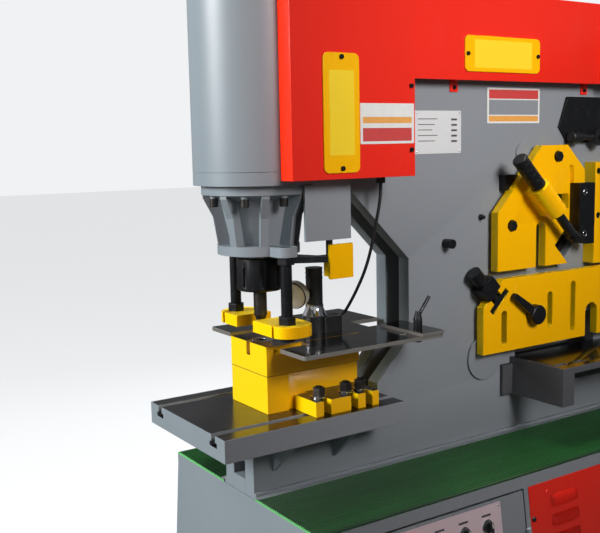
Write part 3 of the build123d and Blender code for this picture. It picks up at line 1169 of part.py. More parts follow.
def upper_clamp_lever():
    """Cranked lever with a ball grip on a hub, at the upper right of the frame."""
    y = -FRAME_HALF - SIDE_PLATE_THICK - SLIDE_GAP
    hub = rod_y(26, LEVER_X, y - 30, y, LEVER_Z)
    hub += rod_y(10, LEVER_X, y - 38, y - 28, LEVER_Z)
    arm = rod_x(9, LEVER_X - LEVER_LENGTH + 22, LEVER_X - 10, y - 18, LEVER_Z)
    grip = rod_x(17, LEVER_X - LEVER_LENGTH, LEVER_X - LEVER_LENGTH + 46, y - 18, LEVER_Z)
    return hub + arm + fillet(grip.edges(), 7)


def shear_table():
    """Support table in front of the flat shear: a steel top on two side plates with front legs."""
    front = SHEAR_TABLE_FRONT_Y
    left, right = SHEAR_TABLE_LEFT_X, SHEAR_TABLE_RIGHT_X
    wall = SHEAR_TABLE_WALL
    under = FLAT_BLADE_Z - SHEAR_TABLE_THICK
    low = SHEAR_BRACKET_LOW
    back = -FRAME_HALF
    table = block(left, right, front, back, under, FLAT_BLADE_Z)
    for x, y in SHEAR_HOLES:
        table -= block(x - 20, x + 20, y - 7, y + 7, under + 8, FLAT_BLADE_Z + 1)
    table += block(left, right, back - wall, back, low, under)
    for edge, turn in ((left, 1), (right, -1)):
        table += block(edge, edge + turn * wall, front, back, low, under)
        table += block(edge, edge + turn * SHEAR_LEG, front, front + wall, low, under)
        table += block(edge - turn * SHEAR_FLANGE, edge, back - wall, back, low, under)
    return table


def pivot_pins():
    """Main rocker pin with its caps and the smaller stop pin above it."""
    main = rod_y(PIVOT_R, PIVOT_X, -FRAME_HALF, FRAME_HALF, PIVOT_Z)
    stop = rod_y(STOP_R, STOP_X_POS, -FRAME_HALF, FRAME_HALF, STOP_Z)
    for side in (-1, 1):
        main += rod_y(PIVOT_CAP_R, PIVOT_X, side * FRAME_HALF, side * (FRAME_HALF + 7), PIVOT_Z)
        stop += rod_y(STOP_R + 6, STOP_X_POS, side * FRAME_HALF, side * (FRAME_HALF + 5), STOP_Z)
    return Compound(children=[main.solids()[0], stop.solids()[0]])


def rocker_beam():
    """Plate lever between the frame plates, from the pivot to the notching nose."""
    boss = rod_y(BEAM_BOSS_R, PIVOT_X, -BEAM_HALF, BEAM_HALF, PIVOT_Z)
    nose = NOTCH_X + 90
    outline = BEAM_BACK + (
        (nose, NOSE_HIGH_Z), (nose, NOSE_LOW_Z), (FRAME_RIGHT_X + 5, NOSE_LOW_Z),
        (RAM_X + 60, BEAM_UNDER_Z - 12), (FLAT_RIGHT_X, BEAM_UNDER_Z),
        (FLAT_LEFT_X, BEAM_UNDER_Z)) + BEAM_BELLY
    y0, y1 = -BEAM_HALF - 1, BEAM_HALF + 1
    seat = -BEAM_HALF + BLADE_THICK
    beam = side_profile(outline, -BEAM_HALF, BEAM_HALF) + boss
    beam -= rod_y(PIVOT_R + RUNNING_FIT, PIVOT_X, y0, y1, PIVOT_Z)
    beam -= diamond(ANGLE_X, ANGLE_Z, ANGLE_WINDOW + 10, y0, y1)
    beam -= diamond(ANGLE_X, ANGLE_Z, ANGLE_WINDOW + 22, y0, seat)
    beam -= rod_y(30, BAR_X, y0, y1, BAR_Z)
    beam -= rod_y(36, BAR_X, y0, seat, BAR_Z)
    beam -= block(FLAT_LEFT_X + 8, FLAT_RIGHT_X - 8, y0, seat, FLAT_BLADE_Z, FLAT_HEAD_Z + 10)
    beam -= block(RAM_X - 55, RAM_X + 45, -12, 12, RAM_PIN_Z - 70, EYE_HEAD_Z - 5)
    beam += rod_y(RAM_PIN_R, RAM_X, -BEAM_HALF, BEAM_HALF, RAM_PIN_Z)
    return beam


def moving_blades():
    """Flat, angle and bar blades and the notch punch carried by the beam."""
    y0, y1 = -BEAM_HALF, -BEAM_HALF + BLADE_THICK
    left, right, top = FLAT_LEFT_X + 8, FLAT_RIGHT_X - 8, FLAT_HEAD_Z + 10
    flat = side_profile(((left, BLADE_LEFT_Z), (right, BLADE_RIGHT_Z), (right, top), (left, top)), y0, y1)
    angle = diamond(ANGLE_X, ANGLE_Z, ANGLE_WINDOW + 22, y0, y1)
    angle -= diamond(ANGLE_X, ANGLE_Z, ANGLE_WINDOW, y0 - 1, y1 + 1)
    half = BAR_SIDE / 2
    bar = rod_y(36, BAR_X, y0, y1, BAR_Z)
    bar -= block(BAR_X - half, BAR_X + half, y0 - 1, y1 + 1, BAR_Z - half, BAR_Z + half)
    x, wide, low = NOTCH_X, NOTCH_HALF, NOTCH_PUNCH_LOW_Z
    punch = block(x - wide - 40, x + wide + 40, -BEAM_HALF, BEAM_HALF, NOSE_LOW_Z - 35, NOSE_LOW_Z)
    punch += block(x - wide - 15, x + wide + 15, -wide, wide, NOSE_LOW_Z - 59, NOSE_LOW_Z - 35)
    punch += block(x - wide, x + wide, -22, 22, low, NOSE_LOW_Z - 59)
    return Compound(children=[s for p in (flat, angle, bar, punch) for s in p.solids()])


def fixed_blades():
    """Lower flat blade, fixed angle and bar blades and the notch die."""
    y1 = -BEAM_HALF - BLADE_GAP
    y0 = y1 - BLADE_THICK
    flat = block(FLAT_LEFT_X + 8, FLAT_RIGHT_X - 8, y0, y1, FLAT_SILL_Z, FLAT_BLADE_Z)
    angle = diamond(ANGLE_X, ANGLE_Z, ANGLE_WINDOW + 23.5, y0, y1)
    angle -= diamond(ANGLE_X, ANGLE_Z, ANGLE_WINDOW, y0 - 1, y1 + 1)
    half = BAR_SIDE / 2
    bar = rod_y(37.5, BAR_X, y0, y1, BAR_Z)
    bar -= block(BAR_X - half, BAR_X + half, y0 - 1, y1 + 1, BAR_Z - half, BAR_Z + half)
    x, z, wide = NOTCH_X, NOTCH_TABLE_Z, NOTCH_DIE_HALF
    die = block(x - 70, x + 70, -70, 70, z, z + 18)
    die -= block(x - wide, x + wide, -24, 24, z - 1, z + 19)
    return Compound(children=[s for p in (flat, angle, bar, die) for s in p.solids()])


def shear_cylinder():
    body = rod_z(SHEAR_CYLINDER_R, RAM_X, 0, SHEAR_CYLINDER_LOW_Z, FRAME_TOP_Z)
    body -= rod_z(SHEAR_CYLINDER_BORE_R, RAM_X, 0, SHEAR_CYLINDER_LOW_Z + 50, FRAME_TOP_Z - 20)
    body -= rod_z(SHEAR_ROD_R + RUNNING_FIT, RAM_X, 0, SHEAR_CYLINDER_LOW_Z - 1, FRAME_TOP_Z - 20)
    return body


def shear_rod():
    """Piston rod whose slotted eye drives the pin of the beam."""
    x, z = RAM_X, RAM_PIN_Z
    rod = rod_z(SHEAR_ROD_R, x, 0, EYE_HEAD_Z, FRAME_TOP_Z - 90)
    rod += rod_z(SHEAR_CYLINDER_BORE_R - RUNNING_FIT, x, 0, FRAME_TOP_Z - 110, FRAME_TOP_Z - 60)
    rod += block(x - EYE_HALF, x + EYE_HALF + EYE_SLOT, -10, 10, z - EYE_HALF, z + EYE_HALF + 4)
    rod += block(x - 23, x + 23, -10, 10, z, EYE_HEAD_Z + 10)
    r = RAM_PIN_R + SLIDE_GAP
    rod -= (block(x, x + EYE_SLOT, -11, 11, z - r, z + r)
            + rod_y(r, x, -11, 11, z) + rod_y(r, x + EYE_SLOT, -11, 11, z))
    return rod


def notch_table():
    """Bracketed table on the right end of the frame."""
    left, right, half = FRAME_RIGHT_X, NOTCH_TABLE_RIGHT_X, NOTCH_TABLE_HALF_Y
    top = NOTCH_TABLE_Z
    under = top - NOTCH_TABLE_THICK
    low = BASE_TOP_Z + FLOOR_BAR / 2 - 5
    table = block(left, right, -half, half, under, top)
    hole = NOTCH_DIE_HALF + 3
    table -= block(NOTCH_X - hole, NOTCH_X + hole, -NOTCH_HALF, NOTCH_HALF, under - 1, top + 1)
    for y in (-half + 70, half - 82):
        table += side_profile(((left, under), (right - 32, under), (right - 72, under - 68), (left, low)),
                              y, y + 12)
    table += block(left, left + 12, -half + 40, half - 40, low, under)
    return table


def lamp_stand():
    """Foot with a switch block, the collar and upright of the work lamp, and its side pin."""
    x, y = LAMP_POST_X, LAMP_Y
    z = DIE_TOP_Z + LAMP_BASE_HIGH
    base = block(LAMP_BASE_LEFT_X, LAMP_BASE_RIGHT_X, LAMP_BASE_FRONT_Y, LAMP_BASE_BACK_Y, DIE_TOP_Z, z)
    base = fillet(base.edges().filter_by(Axis.Z), 4)
    base += rod_z(LAMP_POST_R + 10, x, y, DIE_TOP_Z, z)
    upright = (Align.CENTER, Align.CENTER, Align.MIN)
    base += Pos(x, y, z) * Cone(LAMP_POST_R + 8, LAMP_POST_R + 1, 18, align=upright)
    base += rod_z(LAMP_POST_R, x, y, z, DIE_TOP_Z + LAMP_POST_HIGH)
    base += rod_x(6, LAMP_HEAD_X + 6, x, y, LAMP_PIN_Z)
    base += rod_x(7, LAMP_BASE_RIGHT_X - 10, GLAND[0], GLAND[1], GLAND[2])
    return base


def lamp_head():
    """Round lamp on a side pin, its glass turned towards the punch."""
    x = LAMP_HEAD_X
    place = Plane(origin=(x, LAMP_Y, LAMP_PIN_Z), z_dir=(-0.83, -0.42, -0.2))
    body = place * Cylinder(LAMP_HEAD_R, 22)
    body = chamfer(body.edges(), 2)
    body -= place * (Pos(0, 0, 11) * Cylinder(LAMP_HEAD_R - 4, 5))
    body += rod_x(11, x, LAMP_POST_X - LAMP_POST_R - SLIDE_GAP, LAMP_Y, LAMP_PIN_Z)
    body -= rod_x(6 + RUNNING_FIT, x + 5.5, LAMP_POST_X, LAMP_Y, LAMP_PIN_Z)
    return body


def cable_path():
    points = [Vector(*p) for p in CABLE_ROUTE]
    radii = []
    for before, here, after in zip(points, points[1:], points[2:]):
        turn = (here - before).get_angle(after - here)
        run = min((here - before).length, (after - here).length)
        radii.append(0.45 * run / tan(radians(turn) / 2))
    print("lamp cable radii", [round(r) for r in radii])
    return FilletPolyline(*points, radius=radii)


def lamp_cable():
    path = cable_path()
    start = path @ 0
    section = Plane(origin=start, z_dir=path % 0) * Circle(CABLE_RADIUS)
    tube = sweep(section, path=path)
    print("lamp cable length", round(path.length, 1), "volume ratio",
          round(tube.volume / (path.length * 3.14159265 * CABLE_RADIUS ** 2), 4))
    return tube


NODES = {
    "base_cabinet": base_cabinet, "pump_motor": pump_motor, "valve_block": valve_block,
    "electrical_panel": electrical_panel, "front_frame_plate": lambda: frame_plate(True),
    "rear_frame_plate": lambda: frame_plate(False), "frame_weldments": frame_weldments,
    "t_slot_table": t_slot_table, "die_block_lower": die_block_lower, "die_block_upper": die_block_upper,
    "die_insert": die_insert, "die_clamp_studs": die_clamp_studs, "work_table": work_table,
    "table_fence": table_fence, "table_clamp_lever": table_clamp_lever, "ribbed_mats": ribbed_mats,
    "punch_cylinder": punch_cylinder, "lantern_casting": lantern_casting,
    "piston_rod": piston_rod, "coupling_nut": coupling_nut, "punch_tool": punch_tool,
    "limit_rod": limit_rod, "striker_block": striker_block, "stripper_rods": stripper_rods,
    "front_stripper_arm": lambda: stripper_arm(-1), "rear_stripper_arm": lambda: stripper_arm(1),
    "punch_cover": punch_cover, "access_plates": access_plates,
    "switch_box": switch_box, "top_cover": top_cover, "upper_guide_plate": upper_guide_plate,
    "lower_guide_plate": lower_guide_plate, "bar_guide_plate": bar_guide_plate, "gib_block": gib_block,
    "plate_screws": plate_screws, "hold_down_screw": hold_down_screw, "hold_down_foot": hold_down_foot,
    "height_knob": height_knob, "upper_clamp_lever": upper_clamp_lever, "shear_table": shear_table,
    "pivot_pins": pivot_pins, "rocker_beam": rocker_beam, "moving_blades": moving_blades,
    "fixed_blades": fixed_blades, "shear_cylinder": shear_cylinder, "shear_rod": shear_rod,
    "notch_table": notch_table, "cabinet_door": cabinet_door, "control_plate": control_plate,
    "start_button": lambda: push_button(START_X, 11, 15, CONTROL_SHEET + 6, CONTROL_SHEET + 14),
    "stop_button": lambda: push_button(STOP_X, 11, 20, CONTROL_SHEET + 14, CONTROL_SHEET + 34),
    "selector_1": lambda: selector(SELECTOR_X[0]), "selector_2": lambda: selector(SELECTOR_X[1]),
    "selector_3": lambda: selector(SELECTOR_X[2]), "door_key": door_key, "end_handle": end_handle,
    "vent_panel": vent_panel, "lamp_stand": lamp_stand, "lamp_head": lamp_head, "lamp_cable": lamp_cable,
}

for node, make in NODES.items():
    export_step(make(), f"parts/{node}.step")
print(len(NODES), "nodes written")
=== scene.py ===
"""Looks of a hydraulic ironworker: enamels, ground steel, black oxide, ribbed mats and small fittings."""

import json
import math

import bmesh
import bpy
from mathutils import Matrix, Vector

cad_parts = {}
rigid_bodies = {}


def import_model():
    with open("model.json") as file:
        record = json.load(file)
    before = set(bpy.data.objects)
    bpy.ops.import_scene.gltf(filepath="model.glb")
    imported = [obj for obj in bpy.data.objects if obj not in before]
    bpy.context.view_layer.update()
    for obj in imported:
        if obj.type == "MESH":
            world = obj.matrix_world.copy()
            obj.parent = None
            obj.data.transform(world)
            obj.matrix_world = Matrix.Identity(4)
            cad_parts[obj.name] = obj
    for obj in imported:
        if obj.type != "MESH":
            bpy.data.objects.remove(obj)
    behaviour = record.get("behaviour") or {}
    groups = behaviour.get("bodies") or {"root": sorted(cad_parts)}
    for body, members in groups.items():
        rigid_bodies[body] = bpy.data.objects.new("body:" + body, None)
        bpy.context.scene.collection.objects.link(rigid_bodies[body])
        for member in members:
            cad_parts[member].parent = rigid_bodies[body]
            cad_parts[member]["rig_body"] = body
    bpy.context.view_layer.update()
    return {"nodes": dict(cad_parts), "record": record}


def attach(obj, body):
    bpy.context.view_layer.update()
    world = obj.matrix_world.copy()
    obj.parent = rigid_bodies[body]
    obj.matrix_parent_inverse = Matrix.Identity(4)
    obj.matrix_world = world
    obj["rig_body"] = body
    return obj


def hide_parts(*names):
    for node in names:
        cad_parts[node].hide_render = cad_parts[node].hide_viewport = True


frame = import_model()
NODES = frame["nodes"]
MM = 0.001


def link(name, data):
    """A new object of the scene from a mesh, a curve, a light or a camera."""
    thing = bpy.data.objects.new(name, data)
    bpy.context.scene.collection.objects.link(thing)
    return thing


# Camera

EYE = Vector((-1.800, -1.835, 1.500))
YAW, PITCH, ROLL = (math.radians(angle) for angle in (33.3, 7.6, 1.2))
LENS, SENSOR, FARTHEST = 54, 36, 100


def place_camera():
    ahead = Vector((math.sin(YAW) * math.cos(PITCH), math.cos(YAW) * math.cos(PITCH), -math.sin(PITCH)))
    level = Vector((math.cos(YAW), -math.sin(YAW), 0))
    upright = level.cross(ahead)
    right = level * math.cos(ROLL) - upright * math.sin(ROLL)
    top = upright * math.cos(ROLL) + level * math.sin(ROLL)
    lens = bpy.data.cameras.new("photo_camera")
    lens.lens = LENS
    lens.sensor_width = SENSOR
    lens.clip_end = FARTHEST
    camera = link("photo_camera", lens)
    camera.matrix_world = Matrix.Translation(EYE) @ Matrix((right, top, -ahead)).transposed().to_4x4()
    bpy.context.scene.camera = camera


place_camera()


# Shader expressions

def linear(red, green, blue):
    """A colour written as 0 to 255 on the screen, as the shader takes it."""
    parts = [value / 255 for value in (red, green, blue)]
    return tuple(v / 12.92 if v <= 0.04045 else ((v + 0.055) / 1.055) ** 2.4 for v in parts) + (1.0,)


class Value:
    """A number in a shader that takes part in Python arithmetic."""

    def __init__(self, finish, socket):
        self.finish = finish
        self.socket = socket

    def apply(self, operation, *others):
        node = self.finish.node("ShaderNodeMath", dict(enumerate((self, *others))), operation=operation)
        return Value(self.finish, node.outputs[0])

    def __add__(self, other):
        return self.apply("ADD", other)

    __radd__ = __add__

    def __mul__(self, other):
        return self.apply("MULTIPLY", other)

    __rmul__ = __mul__

    def __sub__(self, other):
        return self.apply("SUBTRACT", other)

    def __rsub__(self, other):
        return (self * -1.0) + other

    def above(self, start, end):
        """0 up to start, 1 from end on, and a straight rise between."""
        node = self.finish.node("ShaderNodeMapRange", {0: self, 1: start, 2: end, 3: 0.0, 4: 1.0}, clamp=True)
        return Value(self.finish, node.outputs[0])


class Finish:
    """A material whose nodes are written as expressions."""

    def __init__(self, name, **plain):
        self.material = bpy.data.materials.new(name)
        self.material.use_nodes = True
        self.tree = self.material.node_tree
        self.shader = self.tree.nodes["Principled BSDF"]
        self.set(**plain)

    def node(self, kind, sockets=None, **settings):
        node = self.tree.nodes.new(kind)
        for name, value in settings.items():
            setattr(node, name, value)
        for key, value in (sockets or {}).items():
            self.feed(node.inputs[key], value)
        return node

    def feed(self, socket, value):
        value = value.socket if isinstance(value, Value) else value
        if isinstance(value, bpy.types.NodeSocket):
            self.tree.links.new(value, socket)
        else:
            socket.default_value = value

    def set(self, **values):
        for name, value in values.items():
            self.feed(self.shader.inputs[name.replace("_", " ")], value)

    def place(self, stretch=(1, 1, 1), shift=(0, 0, 0)):
        """Object coordinates in metres, scaled along the row axes."""
        here = self.node("ShaderNodeTexCoord").outputs["Object"]
        if stretch == (1, 1, 1) and shift == (0, 0, 0):
            return here
        node = self.node("ShaderNodeMapping", {"Vector": here, "Scale": stretch, "Location": shift})
        return node.outputs[0]

    def noise(self, scale, detail=3.0, roughness=0.55, stretch=(1, 1, 1), shift=(0, 0, 0)):
        node = self.node("ShaderNodeTexNoise", {
            "Vector": self.place(stretch, shift), "Scale": scale, "Detail": detail, "Roughness": roughness})
        return Value(self, node.outputs[0])

    def axis(self, letter):
        """The object coordinate along a row axis, in metres."""
        node = self.node("ShaderNodeSeparateXYZ", {0: self.place()})
        return Value(self, node.outputs[letter])

    def facing(self, letter):
        """How far the surface faces along a row axis, from -1 to 1."""
        geometry = self.node("ShaderNodeNewGeometry")
        node = self.node("ShaderNodeSeparateXYZ", {0: geometry.outputs["True Normal"]})
        return Value(self, node.outputs[letter])

    def mix(self, amount, first, second):
        """The first colour where the amount is 0, the second where it is 1."""
        node = self.node("ShaderNodeMix", {0: amount, 6: first, 7: second}, data_type="RGBA")
        return node.outputs[2]

    def bump(self, height, strength, distance):
        node = self.node("ShaderNodeBump", {"Strength": strength, "Distance": distance, "Height": height})
        self.feed(self.shader.inputs["Normal"], node.outputs[0])


# Materials: colours as 0 to 255 on the screen, lengths in metres

DUST, STAIN, WORN_EDGE, JOINT_DIRT = (176, 172, 166), (78, 62, 48), (84, 84, 88), (70, 44, 8)
# Rib heights at which the mats' painted shade between the ribs turns into painted light on the crowns
RIB_FOOT_Z, RIB_CROWN_Z = 0.6790, 0.6812
# X limits of the painted highlight on the mats' left end faces
MAT_END_X, MAT_SIDE_X = -0.7842, -0.7836
JOINT_HALF_WIDTH, JOINT_FADE = 0.0009, 0.0017


def darker(colour, share):
    return linear(*[value * share for value in colour])


def painted_front_shade(finish, body, front):
    """Painted shade: the faces towards the operator take a slightly different hue, the one the paint shows in
    shade.
    """
    return finish.mix(finish.facing("Y").above(-0.5, -0.85), body, linear(*front)) if front else body


def enamel(name, colour, shade, gloss=0.28, peel=0.12, dust=0.25, shine=0.45, front=None):
    """Sprayed enamel: orange peel, faint cloudiness, a few rubbed patches, dust on upper faces and painted
    shade on the front faces.
    """
    finish = Finish(name, Specular_IOR_Level=shine)
    cloud = finish.noise(3.5, 4).above(0.35, 0.7)
    rubbed = finish.noise(14, 6, 0.7, (1, 1, 0.35), (3, 1, 2)).above(0.55, 0.75)
    top = finish.facing("Z").above(0.6, 0.95)
    # Painted shade: the faces towards the operator take the front colour
    body = painted_front_shade(finish, finish.mix(cloud * 0.55, linear(*colour), linear(*shade)), front)
    dusty = finish.mix(rubbed * 0.015 + top * dust * 0.5, body, linear(*DUST))
    finish.set(Base_Color=dusty, Roughness=cloud * 0.06 + rubbed * 0.02 + top * 0.12 + gloss)
    finish.bump(finish.noise(260, 2) * 0.8 + finish.noise(45, 2) * 0.6, peel, 0.0006)
    return finish.material


def ground_steel(name, colour, dark, rough=0.24):
    """Ground steel with fine lines, a film of oil and a few rubbed stains."""
    finish = Finish(name)
    lines = finish.noise(18, 3, 0.7, (2, 60, 60))
    film = finish.noise(9, 5, 0.6, (1, 1, 1), (5, 2, 0)).above(0.42, 0.66)
    spots = finish.noise(38, 4, 0.7, (1, 1, 1), (1, 7, 2)).above(0.62, 0.72)
    base = finish.mix(lines.above(0.3, 0.75), linear(*colour), linear(*dark))
    base = finish.mix(film * 0.5, base, darker(dark, 0.45))
    base = finish.mix(spots * 0.35, base, linear(*STAIN))
    finish.set(Base_Color=base, Metallic=0.92 - spots * 0.3,
               Roughness=lines * 0.16 + rough - film * 0.08 + spots * 0.25)
    finish.bump(lines, 0.12, 0.0003)
    return finish.material


def black_oxide(name):
    """Blackened steel, a little brighter where it is worn."""
    finish = Finish(name)
    worn = finish.noise(60, 4, 0.7).above(0.58, 0.72)
    base = finish.mix(worn * 0.5, linear(26, 27, 30), linear(*WORN_EDGE))
    finish.set(Base_Color=base, Metallic=worn * 0.4 + 0.45, Roughness=worn * 0.1 + 0.36)
    finish.bump(finish.noise(320, 2), 0.15, 0.0003)
    return finish.material


def plastic(name, colour, rough=0.35):
    """Moulded plastic, paint or film of one colour, slightly uneven."""
    finish = Finish(name, Specular_IOR_Level=0.5)
    haze = finish.noise(70, 3).above(0.4, 0.7)
    finish.set(Base_Color=finish.mix(haze * 0.15, linear(*colour), darker(colour, 0.8)),
               Roughness=haze * 0.1 + rough)
    finish.bump(finish.noise(500, 1), 0.08, 0.0002)
    return finish.material


def bright_metal(name, colour, rough):
    """Plated metal, slightly hazy in places."""
    finish = Finish(name, Metallic=1.0)
    haze = finish.noise(50, 4, 0.6).above(0.45, 0.7)
    finish.set(Base_Color=finish.mix(haze * 0.3, linear(*colour), darker(colour, 0.75)),
               Roughness=haze * 0.15 + rough)
    return finish.material


def mat_rubber():
    """Ribbed sheet rubber: painted light on the rubbed crowns, painted shade between the ribs and a painted
    highlight on the left end.
    """
    finish = Finish("green_mat_rubber", Specular_IOR_Level=0.55)
    crown = finish.axis("Z").above(RIB_FOOT_Z, RIB_CROWN_Z)
    streak = finish.noise(7, 5, 0.7, (0.35, 9, 1)).above(0.35, 0.7)
    worn = finish.noise(5, 4, 0.6, (1, 1, 1), (2, 4, 1)).above(0.45, 0.7)
    # Painted shade between the ribs and painted light on the crowns
    shaded_groove = finish.mix(streak, linear(3, 34, 9), linear(7, 50, 15))
    lit_ridge = finish.mix(streak, linear(10, 64, 19), linear(20, 88, 29))
    base = finish.mix(crown, shaded_groove, lit_ridge)
    # Painted highlight on the left end faces of the mats
    ends = finish.axis("X").above(MAT_SIDE_X, MAT_END_X)
    base = finish.mix(ends * 0.8, base, linear(110, 206, 120))
    finish.set(Base_Color=finish.mix(worn * 0.1, base, linear(44, 100, 50)), Roughness=0.5 - crown * 0.1)
    finish.bump(finish.noise(220, 3), 0.2, 0.0005)
    return finish.material


def plate_metal(name, colour, rough=0.4, metal=0.35):
    """Brushed sheet, bare or printed, its lines running along the machine."""
    finish = Finish(name, Metallic=metal)
    lines = finish.noise(30, 3, 0.7, (1, 40, 40))
    finish.set(Base_Color=finish.mix(lines * 0.5, linear(*colour), darker(colour, 0.82)),
               Roughness=lines * 0.15 + rough)
    return finish.material


def bare_top(name, sides, shade, steel, dark, gloss=0.26, rough=0.14, edge_metal=0.0, front=None, seam=None):
    """Painted or scaled sides below an oiled, ground upper face; seam is the height of a dark joint line."""
    finish = Finish(name, Specular_IOR_Level=0.5)
    bare = finish.facing("Z").above(0.9, 0.98)
    cloud = finish.noise(4, 4).above(0.35, 0.7)
    lines = finish.noise(16, 3, 0.7, (2, 50, 50))
    film = finish.noise(8, 5, 0.6, (1, 1, 1), (5, 2, 0)).above(0.4, 0.68)
    scuffs = finish.noise(30, 6, 0.75, (0.4, 1, 1), (2, 9, 4)).above(0.6, 0.72)
    # Painted shade: the faces towards the operator take the front colour
    paint = painted_front_shade(finish, finish.mix(cloud * 0.5, linear(*sides), linear(*shade)), front)
    if seam:
        away = (finish.axis("Z") - seam).apply("ABSOLUTE")
        paint = finish.mix(away.above(JOINT_FADE, JOINT_HALF_WIDTH) * 0.7, paint, linear(*JOINT_DIRT))
    ground = finish.mix(lines.above(0.3, 0.75), linear(*steel), linear(*dark))
    ground = finish.mix(film * 0.5, ground, darker(dark, 0.5))
    ground = finish.mix(scuffs * 0.3, ground, linear(*[min(255, v * 1.5) for v in steel]))
    finish.set(Base_Color=finish.mix(bare, paint, ground), Metallic=bare * (0.9 - edge_metal) + edge_metal,
               Roughness=bare * (rough - gloss) + gloss + lines * 0.08 + cloud * 0.05)
    finish.bump(finish.noise(240, 2) * 0.6 + lines * 0.5, 0.1, 0.0004)
    return finish.material


BLUE_GREY, LEMON, LEMON_SHADE = (130, 141, 148), (255, 214, 0), (250, 204, 0)
DIE_SEAM_Z = 0.969

# The last colour of each enamel, and the front colour of the bare tops, is painted shade on the faces towards
# the operator
GREY = enamel("blue_grey_enamel", BLUE_GREY, (118, 129, 136), 0.36, 0.08, 0.15, 0.5, (134, 137, 142))
RED = enamel("red_enamel", (250, 44, 4), (240, 36, 4), 0.14, 0.08, 0.04, 0.45, (232, 42, 28))
YELLOW = enamel("yellow_enamel", LEMON, LEMON_SHADE, 0.24, 0.12, 0.04, 0.25, (248, 180, 0))
STEEL = ground_steel("oiled_ground_steel", (128, 126, 128), (88, 87, 90))
DARK_STEEL = ground_steel("dark_tool_steel", (96, 92, 90), (58, 56, 56), 0.3)
TABLE = bare_top("grey_sides_ground_top", BLUE_GREY, (116, 127, 134), (92, 92, 96), (52, 52, 56),
                 front=(135, 136, 141))
# Painted shade: the shear table's sides are a darker grey, for the shade under the guides
SHADED_SHEAR_TABLE = bare_top("painted_shade_sides_ground_top", (86, 86, 90), (74, 74, 78), (74, 70, 68), (44, 42, 42))
WORK_TOP = bare_top("pale_edges_oiled_top", (168, 164, 158), (140, 136, 132), (44, 40, 41), (26, 24, 25),
                    0.3, 0.09, 0.7)
DIE_TOP = bare_top("yellow_sides_bare_top", LEMON, LEMON_SHADE, (86, 80, 76), (50, 46, 44), 0.24, 0.2,
                   front=(255, 186, 0), seam=DIE_SEAM_Z)
BLACK = black_oxide("black_oxide")
CHROME = bright_metal("chrome_plate", (205, 207, 212), 0.1)
MAT = mat_rubber()
PANEL = plate_metal("printed_control_plate", (226, 200, 206), 0.4, 0.1)
ZINC_BOARD = plate_metal("zinc_coated_board", (186, 188, 190), 0.42)
BLACK_PLASTIC = plastic("black_plastic", (24, 24, 26))
CABLE = plastic("black_cable_rubber", (20, 20, 22), 0.5)
RED_PLASTIC = plastic("red_plastic", (206, 34, 26), 0.2)
WHITE_PLASTIC = plastic("white_plastic", (232, 226, 220), 0.2)
LAMP = enamel("lamp_enamel", (208, 200, 178), (196, 188, 166), 0.3)
MOTOR = enamel("motor_enamel", (66, 86, 108), (56, 74, 94), 0.4)

SLOT_FINISH = {
    "grey_paint": GREY, "red_paint": RED, "yellow_paint": YELLOW, "bright_steel": STEEL,
    "black_steel": BLACK, "tool_steel": DARK_STEEL, "chrome": CHROME, "mat_rubber": MAT,
    "cable_rubber": CABLE, "black_plastic": BLACK_PLASTIC, "red_plastic": RED_PLASTIC,
    "white_plastic": WHITE_PLASTIC, "panel_plate": PANEL, "lamp_enamel": LAMP, "motor_paint": MOTOR,
}
SLOTS = {row["node"]: row["material_slot"] for row in frame["record"]["subparts"]}
NODE_FINISH = {
    "t_slot_table": TABLE, "shear_table": SHADED_SHEAR_TABLE, "notch_table": TABLE, "work_table": WORK_TOP,
    "table_fence": WORK_TOP, "die_block_lower": DIE_TOP, "die_block_upper": DIE_TOP, "die_insert": CHROME,
    "pivot_pins": GREY, "die_clamp_studs": DARK_STEEL, "electrical_panel": ZINC_BOARD,
}


def finish_of(node):
    return NODE_FINISH.get(node, SLOT_FINISH[SLOTS[node]])


def coat(thing, material):
    thing.data.materials.clear()
    thing.data.materials.append(material)
    return thing


for node, part in NODES.items():
    coat(part, finish_of(node))


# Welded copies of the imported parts, with eased edges: lengths in millimetres, angles in degrees

WELD_DISTANCE, FLAT_ANGLE, EDGE_ANGLE = 0.002, 0.4, 32


def bake(thing):
    """Applies the object's modifiers to its mesh."""
    seen = thing.evaluated_get(bpy.context.evaluated_depsgraph_get())
    mesh = bpy.data.meshes.new_from_object(seen)
    thing.modifiers.clear()
    thing.data = mesh


def smooth(mesh, sharp=180):
    """Smooth shading that keeps the edges sharper than an angle."""
    for polygon in mesh.polygons:
        polygon.use_smooth = True
    if sharp < 180:
        mesh.set_sharp_from_angle(angle=math.radians(sharp))


def ease_edges(thing, width):
    """Smooth faces and a small rounding along the sharp edges."""
    smooth(thing.data, EDGE_ANGLE)
    if width:
        bevel = thing.modifiers.new("eased_edges", "BEVEL")
        bevel.width = width * MM
        bevel.segments = 2
        bevel.limit_method = "ANGLE"
        bevel.angle_limit = math.radians(EDGE_ANGLE)
        bevel.harden_normals = True
        bevel.miter_outer = "MITER_ARC"
        bake(thing)


def welded(node):
    """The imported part's mesh with its corners joined and its flat faces made whole."""
    mesh = NODES[node].data.copy()
    work = bmesh.new()
    work.from_mesh(mesh)
    bmesh.ops.remove_doubles(work, verts=work.verts, dist=WELD_DISTANCE * MM)
    bmesh.ops.dissolve_limit(work, angle_limit=math.radians(FLAT_ANGLE), verts=work.verts, edges=work.edges)
    work.to_mesh(mesh)
    work.free()
    return mesh


def dress(node, width):
    """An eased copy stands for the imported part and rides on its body."""
    piece = link(node + "_finished", welded(node))
    coat(piece, finish_of(node))
    ease_edges(piece, width)
    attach(piece, NODES[node]["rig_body"])
    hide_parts(node)


